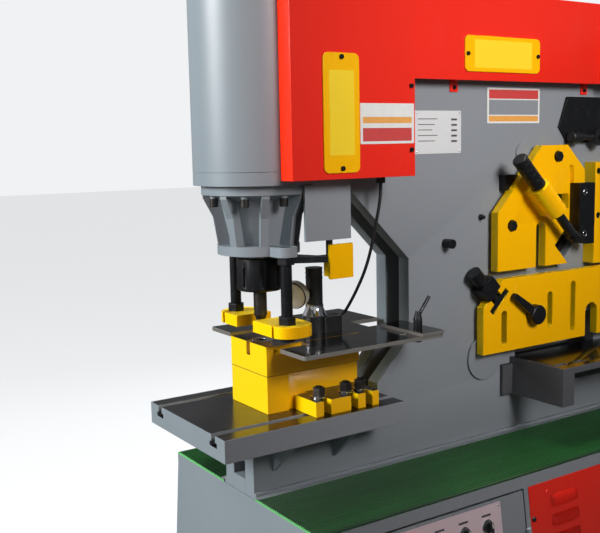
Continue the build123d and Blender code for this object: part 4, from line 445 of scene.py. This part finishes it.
# The rounding, and the parts that have it
EASED = {
    1.2: ("base_cabinet", "t_slot_table", "die_block_lower", "die_block_upper", "shear_table", "gib_block",
          "front_stripper_arm", "rear_stripper_arm", "upper_guide_plate", "lower_guide_plate",
          "bar_guide_plate", "striker_block", "notch_table", "front_frame_plate", "rear_frame_plate"),
    0.8: ("punch_cover", "top_cover", "switch_box", "work_table", "table_fence", "limit_rod", "height_knob",
          "cabinet_door", "access_plates", "plate_screws", "die_clamp_studs", "stripper_rods",
          "coupling_nut"),
    0.5: ("control_plate", "pivot_pins", "table_clamp_lever", "upper_clamp_lever", "end_handle", "door_key",
          "hold_down_foot", "hold_down_screw", "lamp_stand", "lamp_head", "start_button", "stop_button",
          "selector_1", "selector_2", "selector_3", "punch_tool", "piston_rod", "die_insert"),
}
for width, nodes in EASED.items():
    for node in nodes:
        dress(node, width)


# Small shapes, in millimetres

def as_mesh(work, name, move=Matrix.Identity(4)):
    """The faces built so far as a mesh, their normals outwards, moved to its place."""
    bmesh.ops.recalc_face_normals(work, faces=work.faces)
    work.transform(move)
    mesh = bpy.data.meshes.new(name)
    work.to_mesh(mesh)
    work.free()
    return mesh


def thicken(work, faces, height):
    """Extrudes flat faces along +Z by a height in millimetres."""
    made = bmesh.ops.extrude_face_region(work, geom=faces)
    bmesh.ops.translate(work, verts=[v for v in made["geom"] if isinstance(v, bmesh.types.BMVert)],
                        vec=(0, 0, height * MM))


def lathe(name, profile, sides=24):
    """A turned shape about +Z from (radius, height) pairs, one point where the radius is 0."""
    work = bmesh.new()
    rings = []
    for radius, height in profile:
        if radius:
            rings.append([work.verts.new((radius * MM * math.cos(2 * math.pi * n / sides),
                                          radius * MM * math.sin(2 * math.pi * n / sides), height * MM))
                          for n in range(sides)])
        else:
            rings.append([work.verts.new((0, 0, height * MM))])
    for low, high in zip(rings, rings[1:]):
        for n in range(sides):
            after = n + 1
            corners = [low[n % len(low)], low[after % len(low)], high[after % len(high)], high[n % len(high)]]
            corners = list(dict.fromkeys(corners))
            if len(corners) > 2:
                work.faces.new(corners)
    return as_mesh(work, name)


def socket_screw(name, radius, height):
    """Cap screw: a plain round head with a bevel and a socket, sunk a little into its seat."""
    sunk, floor = -height * 0.4, height * 0.35
    return lathe(name, ((0, sunk), (radius, sunk), (radius, height - 1), (radius - 1, height),
                        (radius * 0.56, height), (radius * 0.5, floor), (0, floor)), 20)


def pan_screw(name, radius, height):
    """Domed head with a small recess."""
    return lathe(name, ((0, 0), (radius, 0), (radius * 0.96, height * 0.4), (radius * 0.7, height * 0.85),
                        (radius * 0.3, height), (radius * 0.25, height * 0.5), (0, height * 0.45)), 20)


def thread_ring(name, radius, pitch):
    """One turn of a thread, as a ring."""
    root, foot, crest = radius - pitch * 0.55, pitch / 2, pitch * 0.1
    return lathe(name, ((root, -foot), (radius, -crest), (radius, crest), (root, foot)), 20)


def repeat_tree():
    """Puts one shape on every point, turned so that its axis follows the point's aim."""
    tree = bpy.data.node_groups.new("shape_on_points", "GeometryNodeTree")
    tree.is_modifier = True
    for label, kind in (("Points", "NodeSocketGeometry"), ("Shape", "NodeSocketObject"),
                        ("Finish", "NodeSocketMaterial")):
        tree.interface.new_socket(label, in_out="INPUT", socket_type=kind)
    tree.interface.new_socket("Geometry", in_out="OUTPUT", socket_type="NodeSocketGeometry")
    made = {kind: tree.nodes.new(kind) for kind in (
        "NodeGroupInput", "NodeGroupOutput", "GeometryNodeObjectInfo", "GeometryNodeInputNamedAttribute",
        "FunctionNodeAlignRotationToVector", "GeometryNodeInstanceOnPoints", "GeometryNodeRealizeInstances",
        "GeometryNodeSetMaterial")}
    given, result, shape, aim, turn, place, whole, painted = made.values()
    aim.data_type = "FLOAT_VECTOR"
    aim.inputs["Name"].default_value = "aim"
    turn.axis = "Z"
    for start, end in (
            (aim.outputs[0], turn.inputs["Vector"]), (turn.outputs[0], place.inputs["Rotation"]),
            (given.outputs["Points"], place.inputs["Points"]),
            (given.outputs["Shape"], shape.inputs["Object"]),
            (shape.outputs["Geometry"], place.inputs["Instance"]), (place.outputs[0], whole.inputs[0]),
            (whole.outputs[0], painted.inputs["Geometry"]),
            (given.outputs["Finish"], painted.inputs["Material"]), (painted.outputs[0], result.inputs[0])):
        tree.links.new(start, end)
    return tree


REPEAT = repeat_tree()


def repeated(name, shape, places, material, body, sharp=35):
    """One shape at every (place, aim) pair, joined into one piece of a body."""
    smooth(shape, sharp)
    pattern = link(name + "_pattern", shape)
    points = bpy.data.meshes.new(name)
    points.from_pydata([[v * MM for v in place] for place, aim in places], [], [])
    aims = points.attributes.new("aim", "FLOAT_VECTOR", "POINT")
    aims.data.foreach_set("vector", [v for place, aim in places for v in aim])
    piece = link(name, points)
    modifier = piece.modifiers.new("repeat", "NODES")
    modifier.node_group = REPEAT
    given = {item.name: item.identifier for item in REPEAT.interface.items_tree if item.in_out == "INPUT"}
    modifier[given["Shape"]] = pattern
    modifier[given["Finish"]] = material
    bake(piece)
    bpy.data.objects.remove(pattern)
    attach(piece, body)


def rounded(x0, x1, y0, y1, radius):
    """Corner points of a rounded rectangle, anticlockwise."""
    points, steps = [], 5
    for cx, cy, start in ((x1 - radius, y0 + radius, -90), (x1 - radius, y1 - radius, 0),
                          (x0 + radius, y1 - radius, 90), (x0 + radius, y0 + radius, 180)):
        for n in range(steps + 1):
            angle = math.radians(start + 90 * n / steps)
            points.append((cx + radius * math.cos(angle), cy + radius * math.sin(angle)))
    return points


def raised(name, plane, outline, low, high, material, body, slot, ease=0.4):
    """A flat piece with an outline on a plane, from one height above it to another."""
    work = bmesh.new()
    base = [work.verts.new((x * MM, y * MM, low * MM)) for x, y in outline]
    thicken(work, [work.faces.new(base)], high - low)
    piece = coat(link(name, as_mesh(work, name, plane)), material)
    ease_edges(piece, ease)
    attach(piece, body)


def turned(name, profile, centre, aim, material, body, sides=28):
    """One lathe shape at a place, its axis along the aim."""
    repeated(name, lathe(name + "_shape", profile, sides), [(centre, aim)], material, body)


def ring(name, centre, aim, radius, wire, material, body):
    """A ring of round wire about a centre, square to the aim."""
    sides, facets = 28, 8
    work = bmesh.new()
    turn = Vector(aim).to_track_quat("Z", "Y").to_matrix().to_4x4()
    rows = []
    for n in range(sides):
        angle = 2 * math.pi * n / sides
        out = Vector((math.cos(angle), math.sin(angle), 0))
        row = []
        for k in range(facets):
            around = 2 * math.pi * k / facets
            row.append(work.verts.new(out * (radius + wire * math.cos(around)) * MM
                                      + Vector((0, 0, wire * math.sin(around) * MM))))
        rows.append(row)
    for row, after in zip(rows, rows[1:] + rows[:1]):
        for k in range(facets):
            beside = (k + 1) % facets
            work.faces.new([row[k], row[beside], after[beside], after[k]])
    mesh = as_mesh(work, name, Matrix.Translation(Vector(centre) * MM) @ turn)
    smooth(mesh)
    piece = coat(link(name, mesh), material)
    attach(piece, body)


# Planes that pieces lie on, and the directions that they face

def plane_at(origin, across, up):
    """Plane with its origin in millimetres; the third axis points out of the surface."""
    across, up = Vector(across).normalized(), Vector(up).normalized()
    out = across.cross(up)
    return Matrix.Translation(Vector(origin) * MM) @ Matrix((across, up, out)).transposed().to_4x4()


ALONG, UPRIGHT, FRONT, LEFT = (1, 0, 0), (0, 0, 1), (0, -1, 0), (-1, 0, 0)


def front_plane(y):
    return plane_at((0, y, 0), ALONG, UPRIGHT)


# The cabinet's leaning front: it goes back by LEAN over a height of SLOPE
CABINET_FOOT_Y, LEAN, SLOPE = -425, 87, 650
LEANING = plane_at((0, CABINET_FOOT_Y, 0), ALONG, (0, LEAN, SLOPE))
FACE_OUT = tuple(LEANING.to_3x3() @ Vector((0, 0, 1)))


def on_slope(x, up, out):
    """Place on the leaning front: along the machine, up the slope and out of it."""
    return tuple(LEANING @ (Vector((x, up, out)) * MM) / MM)


# Screws, bolts, rivets and threads

PUNCH_COVER_Y, TOP_COVER_Y, FRAME_Y, COVER_TAB_Y = -195, -110, -67.5, 70.5
ACCESS_SHEET, LEANING_SHEET, HINGE_LEAF = 4, 2, 4
PUNCH_X = -711
LANTERN_BOLTS, LANTERN_CIRCLE, LANTERN_FOOT_Z = 8, 116, 1380
STUDS_X, STUD_Y, STUD_SEAT_Z, STUD_THREAD_Z = (-639, -561, -518), 137, 915, 939
ROD_Y, ROD_THREAD_Z, ROD_TURNS = 119, 1116, 39
FINE_PITCH, COARSE_PITCH = 2, 3


def cover_screws():
    places = [((-402, PUNCH_COVER_Y, z), FRONT) for z in (1635, 1487)]
    places += [((-605.5, PUNCH_COVER_Y - ACCESS_SHEET, z), FRONT) for z in (1694, 1449)]
    places += [((x, TOP_COVER_Y - ACCESS_SHEET, 1727), FRONT) for x in (-143, 115)]
    places += [((x, side * COVER_TAB_Y, 1644), (0, side, 0)) for x in (-150, 360) for side in (-1, 1)]
    screw = socket_screw("cover_screw_shape", 5.5, 5)
    repeated("cover_screws", screw, places, BLACK, "machine")


def lantern_bolts():
    places = []
    for n in range(LANTERN_BOLTS):
        angle = 2 * math.pi * n / LANTERN_BOLTS
        places.append(((PUNCH_X + LANTERN_CIRCLE * math.cos(angle), LANTERN_CIRCLE * math.sin(angle),
                        LANTERN_FOOT_Z), (0, 0, -1)))
    bolt = socket_screw("flange_bolt_shape", 10, 14)
    repeated("lantern_flange_bolts", bolt, places, DARK_STEEL, "machine")


def stud_threads():
    """Washers and thread ends of the die clamp's studs, and the threads of the stripper rods."""
    studs = [(x, side * STUD_Y) for side in (-1, 1) for x in STUDS_X]
    washer = lathe("stud_washer_shape", (
        (8.5, 3.2), (8.5, 0), (16.6, 0), (17.3, 0.6), (17.3, 2.6), (16.8, 3.2), (8.5, 3.2)))
    places = [((x, y, STUD_SEAT_Z), UPRIGHT) for x, y in studs]
    repeated("clamp_stud_washers", washer, places, CHROME, "machine")
    turn = thread_ring("stud_thread", 8.5, FINE_PITCH)
    places = [((x, y, STUD_THREAD_Z + FINE_PITCH * n), UPRIGHT) for x, y in studs for n in range(2)]
    repeated("clamp_stud_threads", turn, places, BLACK, "machine")
    turn = thread_ring("rod_thread", 13.8, COARSE_PITCH)
    places = [((PUNCH_X, side * ROD_Y, ROD_THREAD_Z + COARSE_PITCH * n), UPRIGHT)
              for side in (-1, 1) for n in range(ROD_TURNS)]
    repeated("stripper_rod_threads", turn, places, BLACK, "machine")


def panel_screws():
    """Screws and rivets of the louvred panel, and the control plate's rivets."""
    screw = pan_screw("vent_screw_shape", 7, 5)
    places = [(on_slope(x, up, LEANING_SHEET), FACE_OUT) for up in (566, 120) for x in (-140, 385)]
    repeated("vent_panel_screws", screw, places, BLACK, "machine")
    rivet = pan_screw("vent_rivet_shape", 4, 2)
    places = [(on_slope(x, 625, LEANING_SHEET), FACE_OUT) for x in (-84, 320)]
    repeated("vent_panel_rivets", rivet, places, RED, "machine")
    rivet = pan_screw("plate_rivet_shape", 3, 1.6)
    places = [(on_slope(x, up, LEANING_SHEET), FACE_OUT) for x in (-665, -258) for up in (548, 630)]
    repeated("control_plate_rivets", rivet, places, CHROME, "door")


cover_screws()
lantern_bolts()
stud_threads()
panel_screws()


# Plates and printed places, all without text

PLATE = plate_metal("bare_silver_plate", (236, 236, 236))
LABEL = plastic("pale_label_film", (222, 220, 216), 0.45)
PALE_YELLOW = enamel("pale_yellow_print", (246, 208, 44), (240, 200, 36), 0.3, 0.05, 0.02, 0.3)
RED_BAND = plastic("red_label_band", (196, 62, 60), 0.45)
AMBER_BAND = plastic("amber_label_band", (226, 158, 76), 0.45)
MARK = plastic("printed_marks", (70, 62, 66), 0.6)

# From and to, above the surface: a film, its print, the marks of a plate and the print of a sheet
FILM, FILM_PRINT, PLATE_MARK = (0, 0.6), (0.6, 0.8), (1.2, 1.4)
SHEET_PRINT = (ACCESS_SHEET, ACCESS_SHEET + 0.5)
PLATE_SHEET, RATING_ROWS, RATING_STEP = 1.2, 5, 14


def flat_pieces(plane, rows):
    """Thin rectangles of the machine: name, edges and corner, heights, material, slot and rounding."""
    for name, edges, (low, high), material, slot, ease in rows:
        raised(name, plane, rounded(*edges), low, high, material, "machine", slot, ease)


def plates():
    flat_pieces(front_plane(FRAME_Y), [
        ("rating_plate", (-283, -123, 1474, 1584, 3), (0, PLATE_SHEET), PLATE, "panel_plate", 0.3),
        ("frame_label_place", (-27, 176, 1551, 1646, 2), FILM, LABEL, "white_plastic", 0),
        ("frame_label_middle", (-21, 170, 1574, 1614, 0.5), FILM_PRINT, GREY, "grey_paint", 0),
        ("frame_label_top", (-21, 170, 1617, 1641, 0.5), FILM_PRINT, RED_BAND, "red_plastic", 0),
        ("frame_label_foot", (-21, 170, 1556, 1571, 0.5), FILM_PRINT, AMBER_BAND, "yellow_paint", 0)])
    for n in range(RATING_ROWS):
        top = 1564 - RATING_STEP * n
        flat_pieces(front_plane(FRAME_Y), [
            (f"rating_rule_{n + 1}", (-272, -206 - 9 * (n % 3), top - 2, top, 0.5), PLATE_MARK, MARK,
             "black_plastic", 0),
            (f"rating_field_{n + 1}", (-158, -138, top - 5, top, 0.5), PLATE_MARK, MARK, "black_plastic", 0)])
    flat_pieces(front_plane(PUNCH_COVER_Y), [
        ("cover_label_place", (-552, -394, 1502, 1594, 2), FILM, LABEL, "white_plastic", 0),
        ("cover_label_middle", (-545, -401, 1549, 1563, 1), FILM_PRINT, AMBER_BAND, "yellow_paint", 0),
        ("cover_label_foot", (-545, -401, 1508, 1538, 1), FILM_PRINT, RED_BAND, "red_plastic", 0),
        ("upright_plate_print", (-640, -571, 1478, 1665, 2), SHEET_PRINT, PALE_YELLOW, "yellow_paint", 0)])
    flat_pieces(front_plane(TOP_COVER_Y), [
        ("flat_plate_print", (-120, 92, 1692, 1763, 2), SHEET_PRINT, PALE_YELLOW, "yellow_paint", 0)])
    places = [((x, FRAME_Y - PLATE_SHEET, z), FRONT) for x in (-277, -129) for z in (1480, 1578)]
    rivet = pan_screw("rating_rivet_shape", 2.5, 1.5)
    repeated("rating_plate_rivets", rivet, places, CHROME, "machine")


plates()


# Controls, lamp, mats and other fittings

RED_LENS = plastic("red_lens", (220, 20, 16), 0.1)
YELLOW_DISC = plastic("yellow_disc", (250, 200, 20), 0.35)
LAMP_GLASS = plastic("lamp_glass", (214, 206, 186), 0.18)
STRIP = plate_metal("pale_edge_strip", (150, 158, 160))
CONTROL_ROW, START_X, STOP_X = 588, -612, -532
SELECTORS = ((-450, "left"), (-375, "middle"), (-300, "right"))
PLATE_PRINT, POINTER_PRINT = (LEANING_SHEET, LEANING_SHEET + 0.3), (22, 22.4)
LEFT_END_X, STRIP_Z = -785, (681.4, 682.6)
LAMP_POST_X, LAMP_POST_Y, LAMP_FOOT_Z, LAMP_POST_Z = -551, 4, 1078, 1198
LAMP_MOUTH, LAMP_AIM = Vector((-607, 4, 1138)), Vector((-0.83, -0.42, -0.2)).normalized()
SCREW_ORIGIN, SCREW_DOWN = Vector((146.7, -147, 1321.7)), Vector((math.sqrt(0.5), 0, -math.sqrt(0.5)))
SCREW_THREAD, SCREW_TURNS = 48, 23


def at_control(x, up=0):
    """Place on the control plate, up from the row of buttons."""
    return on_slope(x, CONTROL_ROW + up, LEANING_SHEET)


def control_details():
    turned("stop_collar", ((0, 0), (27, 0), (27, 1.2), (26, 1.6), (0, 1.6)), at_control(STOP_X), FACE_OUT,
           YELLOW_DISC, "door")
    turned("signal_lens", ((9.2, 0), (9.2, 3), (8.2, 6), (6, 9), (3, 11.4), (0, 12.2)),
           at_control(STOP_X, 34), FACE_OUT, RED_LENS, "door")
    bezel = ((15, 0), (17.5, 0), (17.5, 2.4), (16.6, 3.4), (15, 3.4), (15, 0))
    places = [(at_control(x), FACE_OUT) for x, side in SELECTORS]
    repeated("selector_bezels", lathe("selector_bezel_shape", bezel, 28), places, CHROME, "door")
    turned("start_bezel", [(radius + 1.3, height) for radius, height in bezel], at_control(START_X), FACE_OUT,
           CHROME, "door")
    for n, x in enumerate([START_X] + [x for x, side in SELECTORS]):
        mark = rounded(x - 15, x + 15, CONTROL_ROW + 24, CONTROL_ROW + 29, 1)
        raised(f"control_mark_{n + 1}", LEANING, mark, *PLATE_PRINT, MARK, "door", "black_plastic", 0)
        rule = rounded(x - 22, x + 22, CONTROL_ROW - 31, CONTROL_ROW - 29.6, 0.5)
        raised(f"control_rule_{n + 1}", LEANING, rule, *PLATE_PRINT, MARK, "door", "black_plastic", 0)
    for n, (x, side) in enumerate(SELECTORS):
        pointer = rounded(x - 1.2, x + 1.2, CONTROL_ROW - 1, CONTROL_ROW + 11, 1)
        raised(f"selector_line_{n + 1}", LEANING, pointer, *POINTER_PRINT, WHITE_PLASTIC,
               f"selector_{side}", "white_plastic", 0)


def key_ring():
    """Ring through the door key's eye, and the red tag that hangs from it."""
    centre = on_slope(-668, 456, 34)
    ring("key_ring", centre, (1, 0.4, 0.2), 11, 0.9, CHROME, "lock")
    tag = plane_at((centre[0] + 3, centre[1] - 3, centre[2] - 34), ALONG, UPRIGHT)
    raised("key_tag", tag, rounded(-8, 8, -16, 22, 5), -1.5, 1.5, RED_PLASTIC, "lock", "red_plastic", 0.5)


def cable_gland():
    """Black hexagon nut and collar round the stub that the lamp's cable leaves by."""
    turned("cable_gland", ((4.3, 0), (12, 0), (12, 15.8), (9.1, 15.8), (9.1, 0.35), (4.3, 0.35), (4.3, 0)),
           (-435, -120, 1408.6), UPRIGHT, BLACK_PLASTIC, "machine", 6)


def lamp_details():
    """Collar, beads, glass and rim of the work lamp."""
    turned("lamp_collar",
           ((30.4, 0), (31.6, 1.5), (31.6, 4), (29.4, 6.5), (23.6, 18.5), (22.4, 21), (22.4, 30), (21.4, 31),
            (21.2, 12), (21.2, 0.5), (30.4, 0)),
           (LAMP_POST_X, LAMP_POST_Y, LAMP_FOOT_Z), UPRIGHT, CHROME, "machine")
    turned("lamp_glass", ((0, 0), (29.6, 0), (29.6, 1), (24, 2.4), (12, 3.4), (0, 3.7)),
           tuple(LAMP_MOUTH + LAMP_AIM * 8.6), tuple(LAMP_AIM), LAMP_GLASS, "lamp")
    ring("lamp_rim", tuple(LAMP_MOUTH + LAMP_AIM * 9), tuple(LAMP_AIM), 32.2, 2.2, BLACK_PLASTIC, "lamp")
    places = [((LAMP_POST_X, LAMP_POST_Y, LAMP_POST_Z - 12 * n), UPRIGHT) for n in range(3)]
    bead = lathe("post_bead_shape", ((21, 0), (22, 0.6), (22, 2.4), (21, 3), (21, 0)), 28)
    repeated("lamp_post_beads", bead, places, BLACK_PLASTIC, "machine")


def mat_edges():
    """Pale metal strips along the inner edges of the two mats."""
    level = plane_at((0, 0, 0), ALONG, (0, 1, 0))
    for side, label in ((-1, "front"), (1, "rear")):
        inner, outer = sorted((side * 74, side * 92))
        raised(f"{label}_mat_strip", level, rounded(LEFT_END_X, -LEFT_END_X, inner, outer, 1), *STRIP_Z,
               STRIP, "machine", "panel_plate")


def door_details():
    """Rivets of the door's hinges, and the lock and the handle's plate on the left end."""
    rivet = pan_screw("hinge_rivet_shape", 3.4, 2)
    places = [(on_slope(-157, up, HINGE_LEAF), FACE_OUT) for up in (317, 357, 500, 540)]
    repeated("hinge_rivets", rivet, places, GREY, "machine")
    turned("end_lock", ((0, 0), (13, 0), (13, 3), (11.5, 4.5), (5, 4.5), (5, 3.6), (0, 3.6)),
           (LEFT_END_X, -262, 505), LEFT, CHROME, "machine")
    raised("handle_plate", plane_at((LEFT_END_X, -300, 432), FRONT, UPRIGHT), rounded(-30, 30, -34, 34, 4),
           0, PLATE_SHEET, PLATE, "machine", "panel_plate", 0.3)


def guide_details():
    """Bright rings round the gib's screws and the dark block behind the upper plate's edge."""
    for n, (x, z) in enumerate(((305, 1354), (306, 1234))):
        ring(f"gib_screw_ring_{n + 1}", (x, -127.4, z), FRONT, 7.4, 1.5, CHROME, "machine")
    raised("edge_block", front_plane(FRAME_Y), rounded(20, 96, 1369, 1411, 1), 0, 20, BLACK, "machine",
           "black_steel", 0.5)


def hold_down_rings():
    """Grip bands and thread of the sloping hold-down screw."""
    for n, along in enumerate((-184, -90)):
        turned(f"grip_band_{n + 1}", ((20, 0), (21.8, 0.6), (21.8, 5.4), (20, 6)),
               tuple(SCREW_ORIGIN + SCREW_DOWN * along), tuple(SCREW_DOWN), BLACK, "clamp_screw")
    turn = thread_ring("hold_thread", 13.6, COARSE_PITCH)
    places = [(tuple(SCREW_ORIGIN + SCREW_DOWN * (SCREW_THREAD + COARSE_PITCH * n)), tuple(SCREW_DOWN))
              for n in range(SCREW_TURNS)]
    repeated("hold_down_threads", turn, places, BLACK, "clamp_screw")


control_details()
key_ring()
cable_gland()
lamp_details()
mat_edges()
door_details()
guide_details()
hold_down_rings()


# Louvred panel: a sheet with slots and a pressed hood over each

VENT_LEFT, VENT_RIGHT, VENT_LOW, VENT_HIGH = -150, 395, 60, 650
LOUVRE_COLUMNS, LOUVRE_ROWS = (-24, 250), [585 - 50 * n for n in range(9)]
SLOT_LENGTH, SLOT_HEIGHT = 100, 12
HOOD_LENGTH, HOOD_RISE, HOOD_OUT, HOOD_SHEET = 104, 27.2, 11, 1.2


def vent_sheet():
    xs = [VENT_LEFT, VENT_RIGHT]
    for x in LOUVRE_COLUMNS:
        xs += [x - SLOT_LENGTH / 2, x + SLOT_LENGTH / 2]
    ys = [VENT_LOW, VENT_HIGH] + LOUVRE_ROWS + [y + SLOT_HEIGHT for y in LOUVRE_ROWS]
    xs.sort()
    ys.sort()
    work = bmesh.new()
    grid = {(x, y): work.verts.new((x * MM, y * MM, 0)) for x in xs for y in ys}
    for x0, x1 in zip(xs, xs[1:]):
        for y0, y1 in zip(ys, ys[1:]):
            in_column = any(abs((x0 + x1) / 2 - x) < SLOT_LENGTH / 2 for x in LOUVRE_COLUMNS)
            if not (in_column and y0 in LOUVRE_ROWS):
                work.faces.new([grid[x0, y0], grid[x1, y0], grid[x1, y1], grid[x0, y1]])
    bmesh.ops.dissolve_limit(work, angle_limit=0.01, verts=work.verts, edges=work.edges)
    thicken(work, work.faces[:], LEANING_SHEET)
    piece = coat(link("vent_panel_sheet", as_mesh(work, "vent_panel_sheet", LEANING)), RED)
    ease_edges(piece, 0.4)
    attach(piece, "machine")
    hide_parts("vent_panel")


def hood_shape():
    """Pressed hood, open downwards, its ends drawn in to the sheet."""
    across, rise = 18, 8
    work = bmesh.new()
    rows = []
    for j in range(rise + 1):
        up = j / rise
        row = []
        for i in range(across + 1):
            side = 2 * i / across - 1
            swell = (1 - abs(side) ** 5) * math.cos(up * math.pi / 2) ** 0.7
            row.append(work.verts.new((side * HOOD_LENGTH / 2 * MM, up * HOOD_RISE * MM,
                                       HOOD_OUT * swell * MM)))
        rows.append(row)
    for low, high in zip(rows, rows[1:]):
        for n in range(across):
            work.faces.new([low[n], low[n + 1], high[n + 1], high[n]])
    bmesh.ops.solidify(work, geom=work.faces[:], thickness=HOOD_SHEET * MM)
    return as_mesh(work, "louvre_hood_shape", LEANING.to_3x3().to_4x4())


def louvres():
    places = [(on_slope(x, up, LEANING_SHEET), UPRIGHT) for x in LOUVRE_COLUMNS for up in LOUVRE_ROWS]
    repeated("vent_panel_louvres", hood_shape(), places, RED, "machine", 60)


vent_sheet()
louvres()


# Cable of the work lamp: its route runs from the gland under the punch cover to the lamp's foot

CABLE_DIAMETER = 8
CABLE_ROUTE = (
    (-435, -120, 1409), (-435, -120, 1380), (-441, -114, 1330), (-445, -100.5, 1268), (-451.5, -81, 1200),
    (-460, -52, 1141), (-466, -23, 1096), (-472, -7, 1073), (-488, -4, 1073))


def lamp_cable():
    curve = bpy.data.curves.new("lamp_cable_line", "CURVE")
    curve.dimensions = "3D"
    spline = curve.splines.new("NURBS")
    spline.points.add(len(CABLE_ROUTE) - 1)
    for point, place in zip(spline.points, CABLE_ROUTE):
        point.co = (*[value * MM for value in place], 1)
    spline.order_u = 3
    spline.use_endpoint_u = True
    spline.resolution_u = 12
    curve.bevel_depth = CABLE_DIAMETER / 2 * MM
    curve.bevel_resolution = 4
    curve.use_fill_caps = True
    cable = coat(link("work_lamp_cable", curve), CABLE)
    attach(cable, "machine")
    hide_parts("lamp_cable")


lamp_cable()


# Floor, backdrop and studio light

FLOOR_HALF, PAPER_GLOW = 30, 0.86
# Strength of the surroundings for matt faces, and in reflections from the window side and the other side
ROOM, GLOSSY_ROOM, GLOSSY_SHADE = 0.12, 0.62, 0.14
# Name, place, aim, width, watts, spread in degrees, and whether glossy faces mirror it
LIGHTS = (
    ("left_window", (-5.0, 0.9, 2.9), (-0.4, 0, 1.1), 2.0, 300, 180, True),
    ("front_window", (-0.2, -2.9, 2.7), (0.0, 0, 1.66), 1.2, 11.5, 58, True),
    ("roof_light", (-0.3, 0.12, 4.6), (-0.1, 0, 0.9), 0.55, 140, 180, True),
    ("rear_fill", (2.6, 3.4, 2.2), (0.1, 0, 1.0), 2.0, 70, 120, False))


def studio_floor():
    """Pale paper that glows for the camera only and takes the machine's shadow."""
    paper = Finish("studio_paper", Roughness=0.95, Specular_IOR_Level=0.0)
    seen = Value(paper, paper.node("ShaderNodeLightPath").outputs["Is Camera Ray"])
    paper.set(Base_Color=paper.mix(seen, linear(112, 110, 108), linear(122, 123, 124)),
              Emission_Color=linear(238, 240, 242), Emission_Strength=seen * PAPER_GLOW)
    floor = bmesh.new()
    bmesh.ops.create_grid(floor, x_segments=1, y_segments=1, size=FLOOR_HALF)
    mesh = bpy.data.meshes.new("studio_floor")
    floor.to_mesh(mesh)
    floor.free()
    ground = coat(link("studio_floor", mesh), paper.material)


def studio_world():
    """White to the camera, dim as light, and in reflections brighter towards the windows."""
    world = bpy.data.worlds.new("studio_world")
    bpy.context.scene.world = world
    world.use_nodes = True
    tree = world.node_tree

    def node(kind, source=None, **values):
        """A node with a link to its first input and values for others."""
        made = tree.nodes.new(kind)
        if source is not None:
            tree.links.new(source, made.inputs[0])
        for place, value in values.items():
            made.inputs[place.replace("_", " ")].default_value = value
        return made

    back = tree.nodes["Background"]
    back.inputs["Color"].default_value = linear(240, 242, 244)
    rays = node("ShaderNodeLightPath").outputs
    way = node("ShaderNodeSeparateXYZ", node("ShaderNodeTexCoord").outputs["Generated"])
    mirrored = node("ShaderNodeMapRange", way.outputs["X"], From_Min=0.5, From_Max=-0.3,
                    To_Min=GLOSSY_SHADE / ROOM, To_Max=GLOSSY_ROOM / ROOM)
    glossy = node("ShaderNodeMapRange", rays["Is Glossy Ray"], To_Min=1.0)
    tree.links.new(mirrored.outputs[0], glossy.inputs["To Max"])
    direct = node("ShaderNodeMapRange", rays["Is Camera Ray"], To_Min=ROOM)
    both = node("ShaderNodeMath", direct.outputs[0])
    both.operation = "MULTIPLY"
    tree.links.new(glossy.outputs[0], both.inputs[1])
    tree.links.new(both.outputs[0], back.inputs["Strength"])


def studio_lights():
    for name, place, aim, size, power, spread, mirrored in LIGHTS:
        lamp = bpy.data.lights.new(name, "AREA")
        lamp.spread = math.radians(spread)
        lamp.shape = "DISK"
        lamp.size = size
        lamp.energy = power
        holder = link(name, lamp)
        holder.visible_glossy = mirrored
        holder.location = place
        holder.rotation_euler = (Vector(aim) - Vector(place)).to_track_quat("-Z", "Y").to_euler()


studio_floor()
studio_world()
studio_lights()
bpy.context.scene.view_settings.view_transform = "Standard"
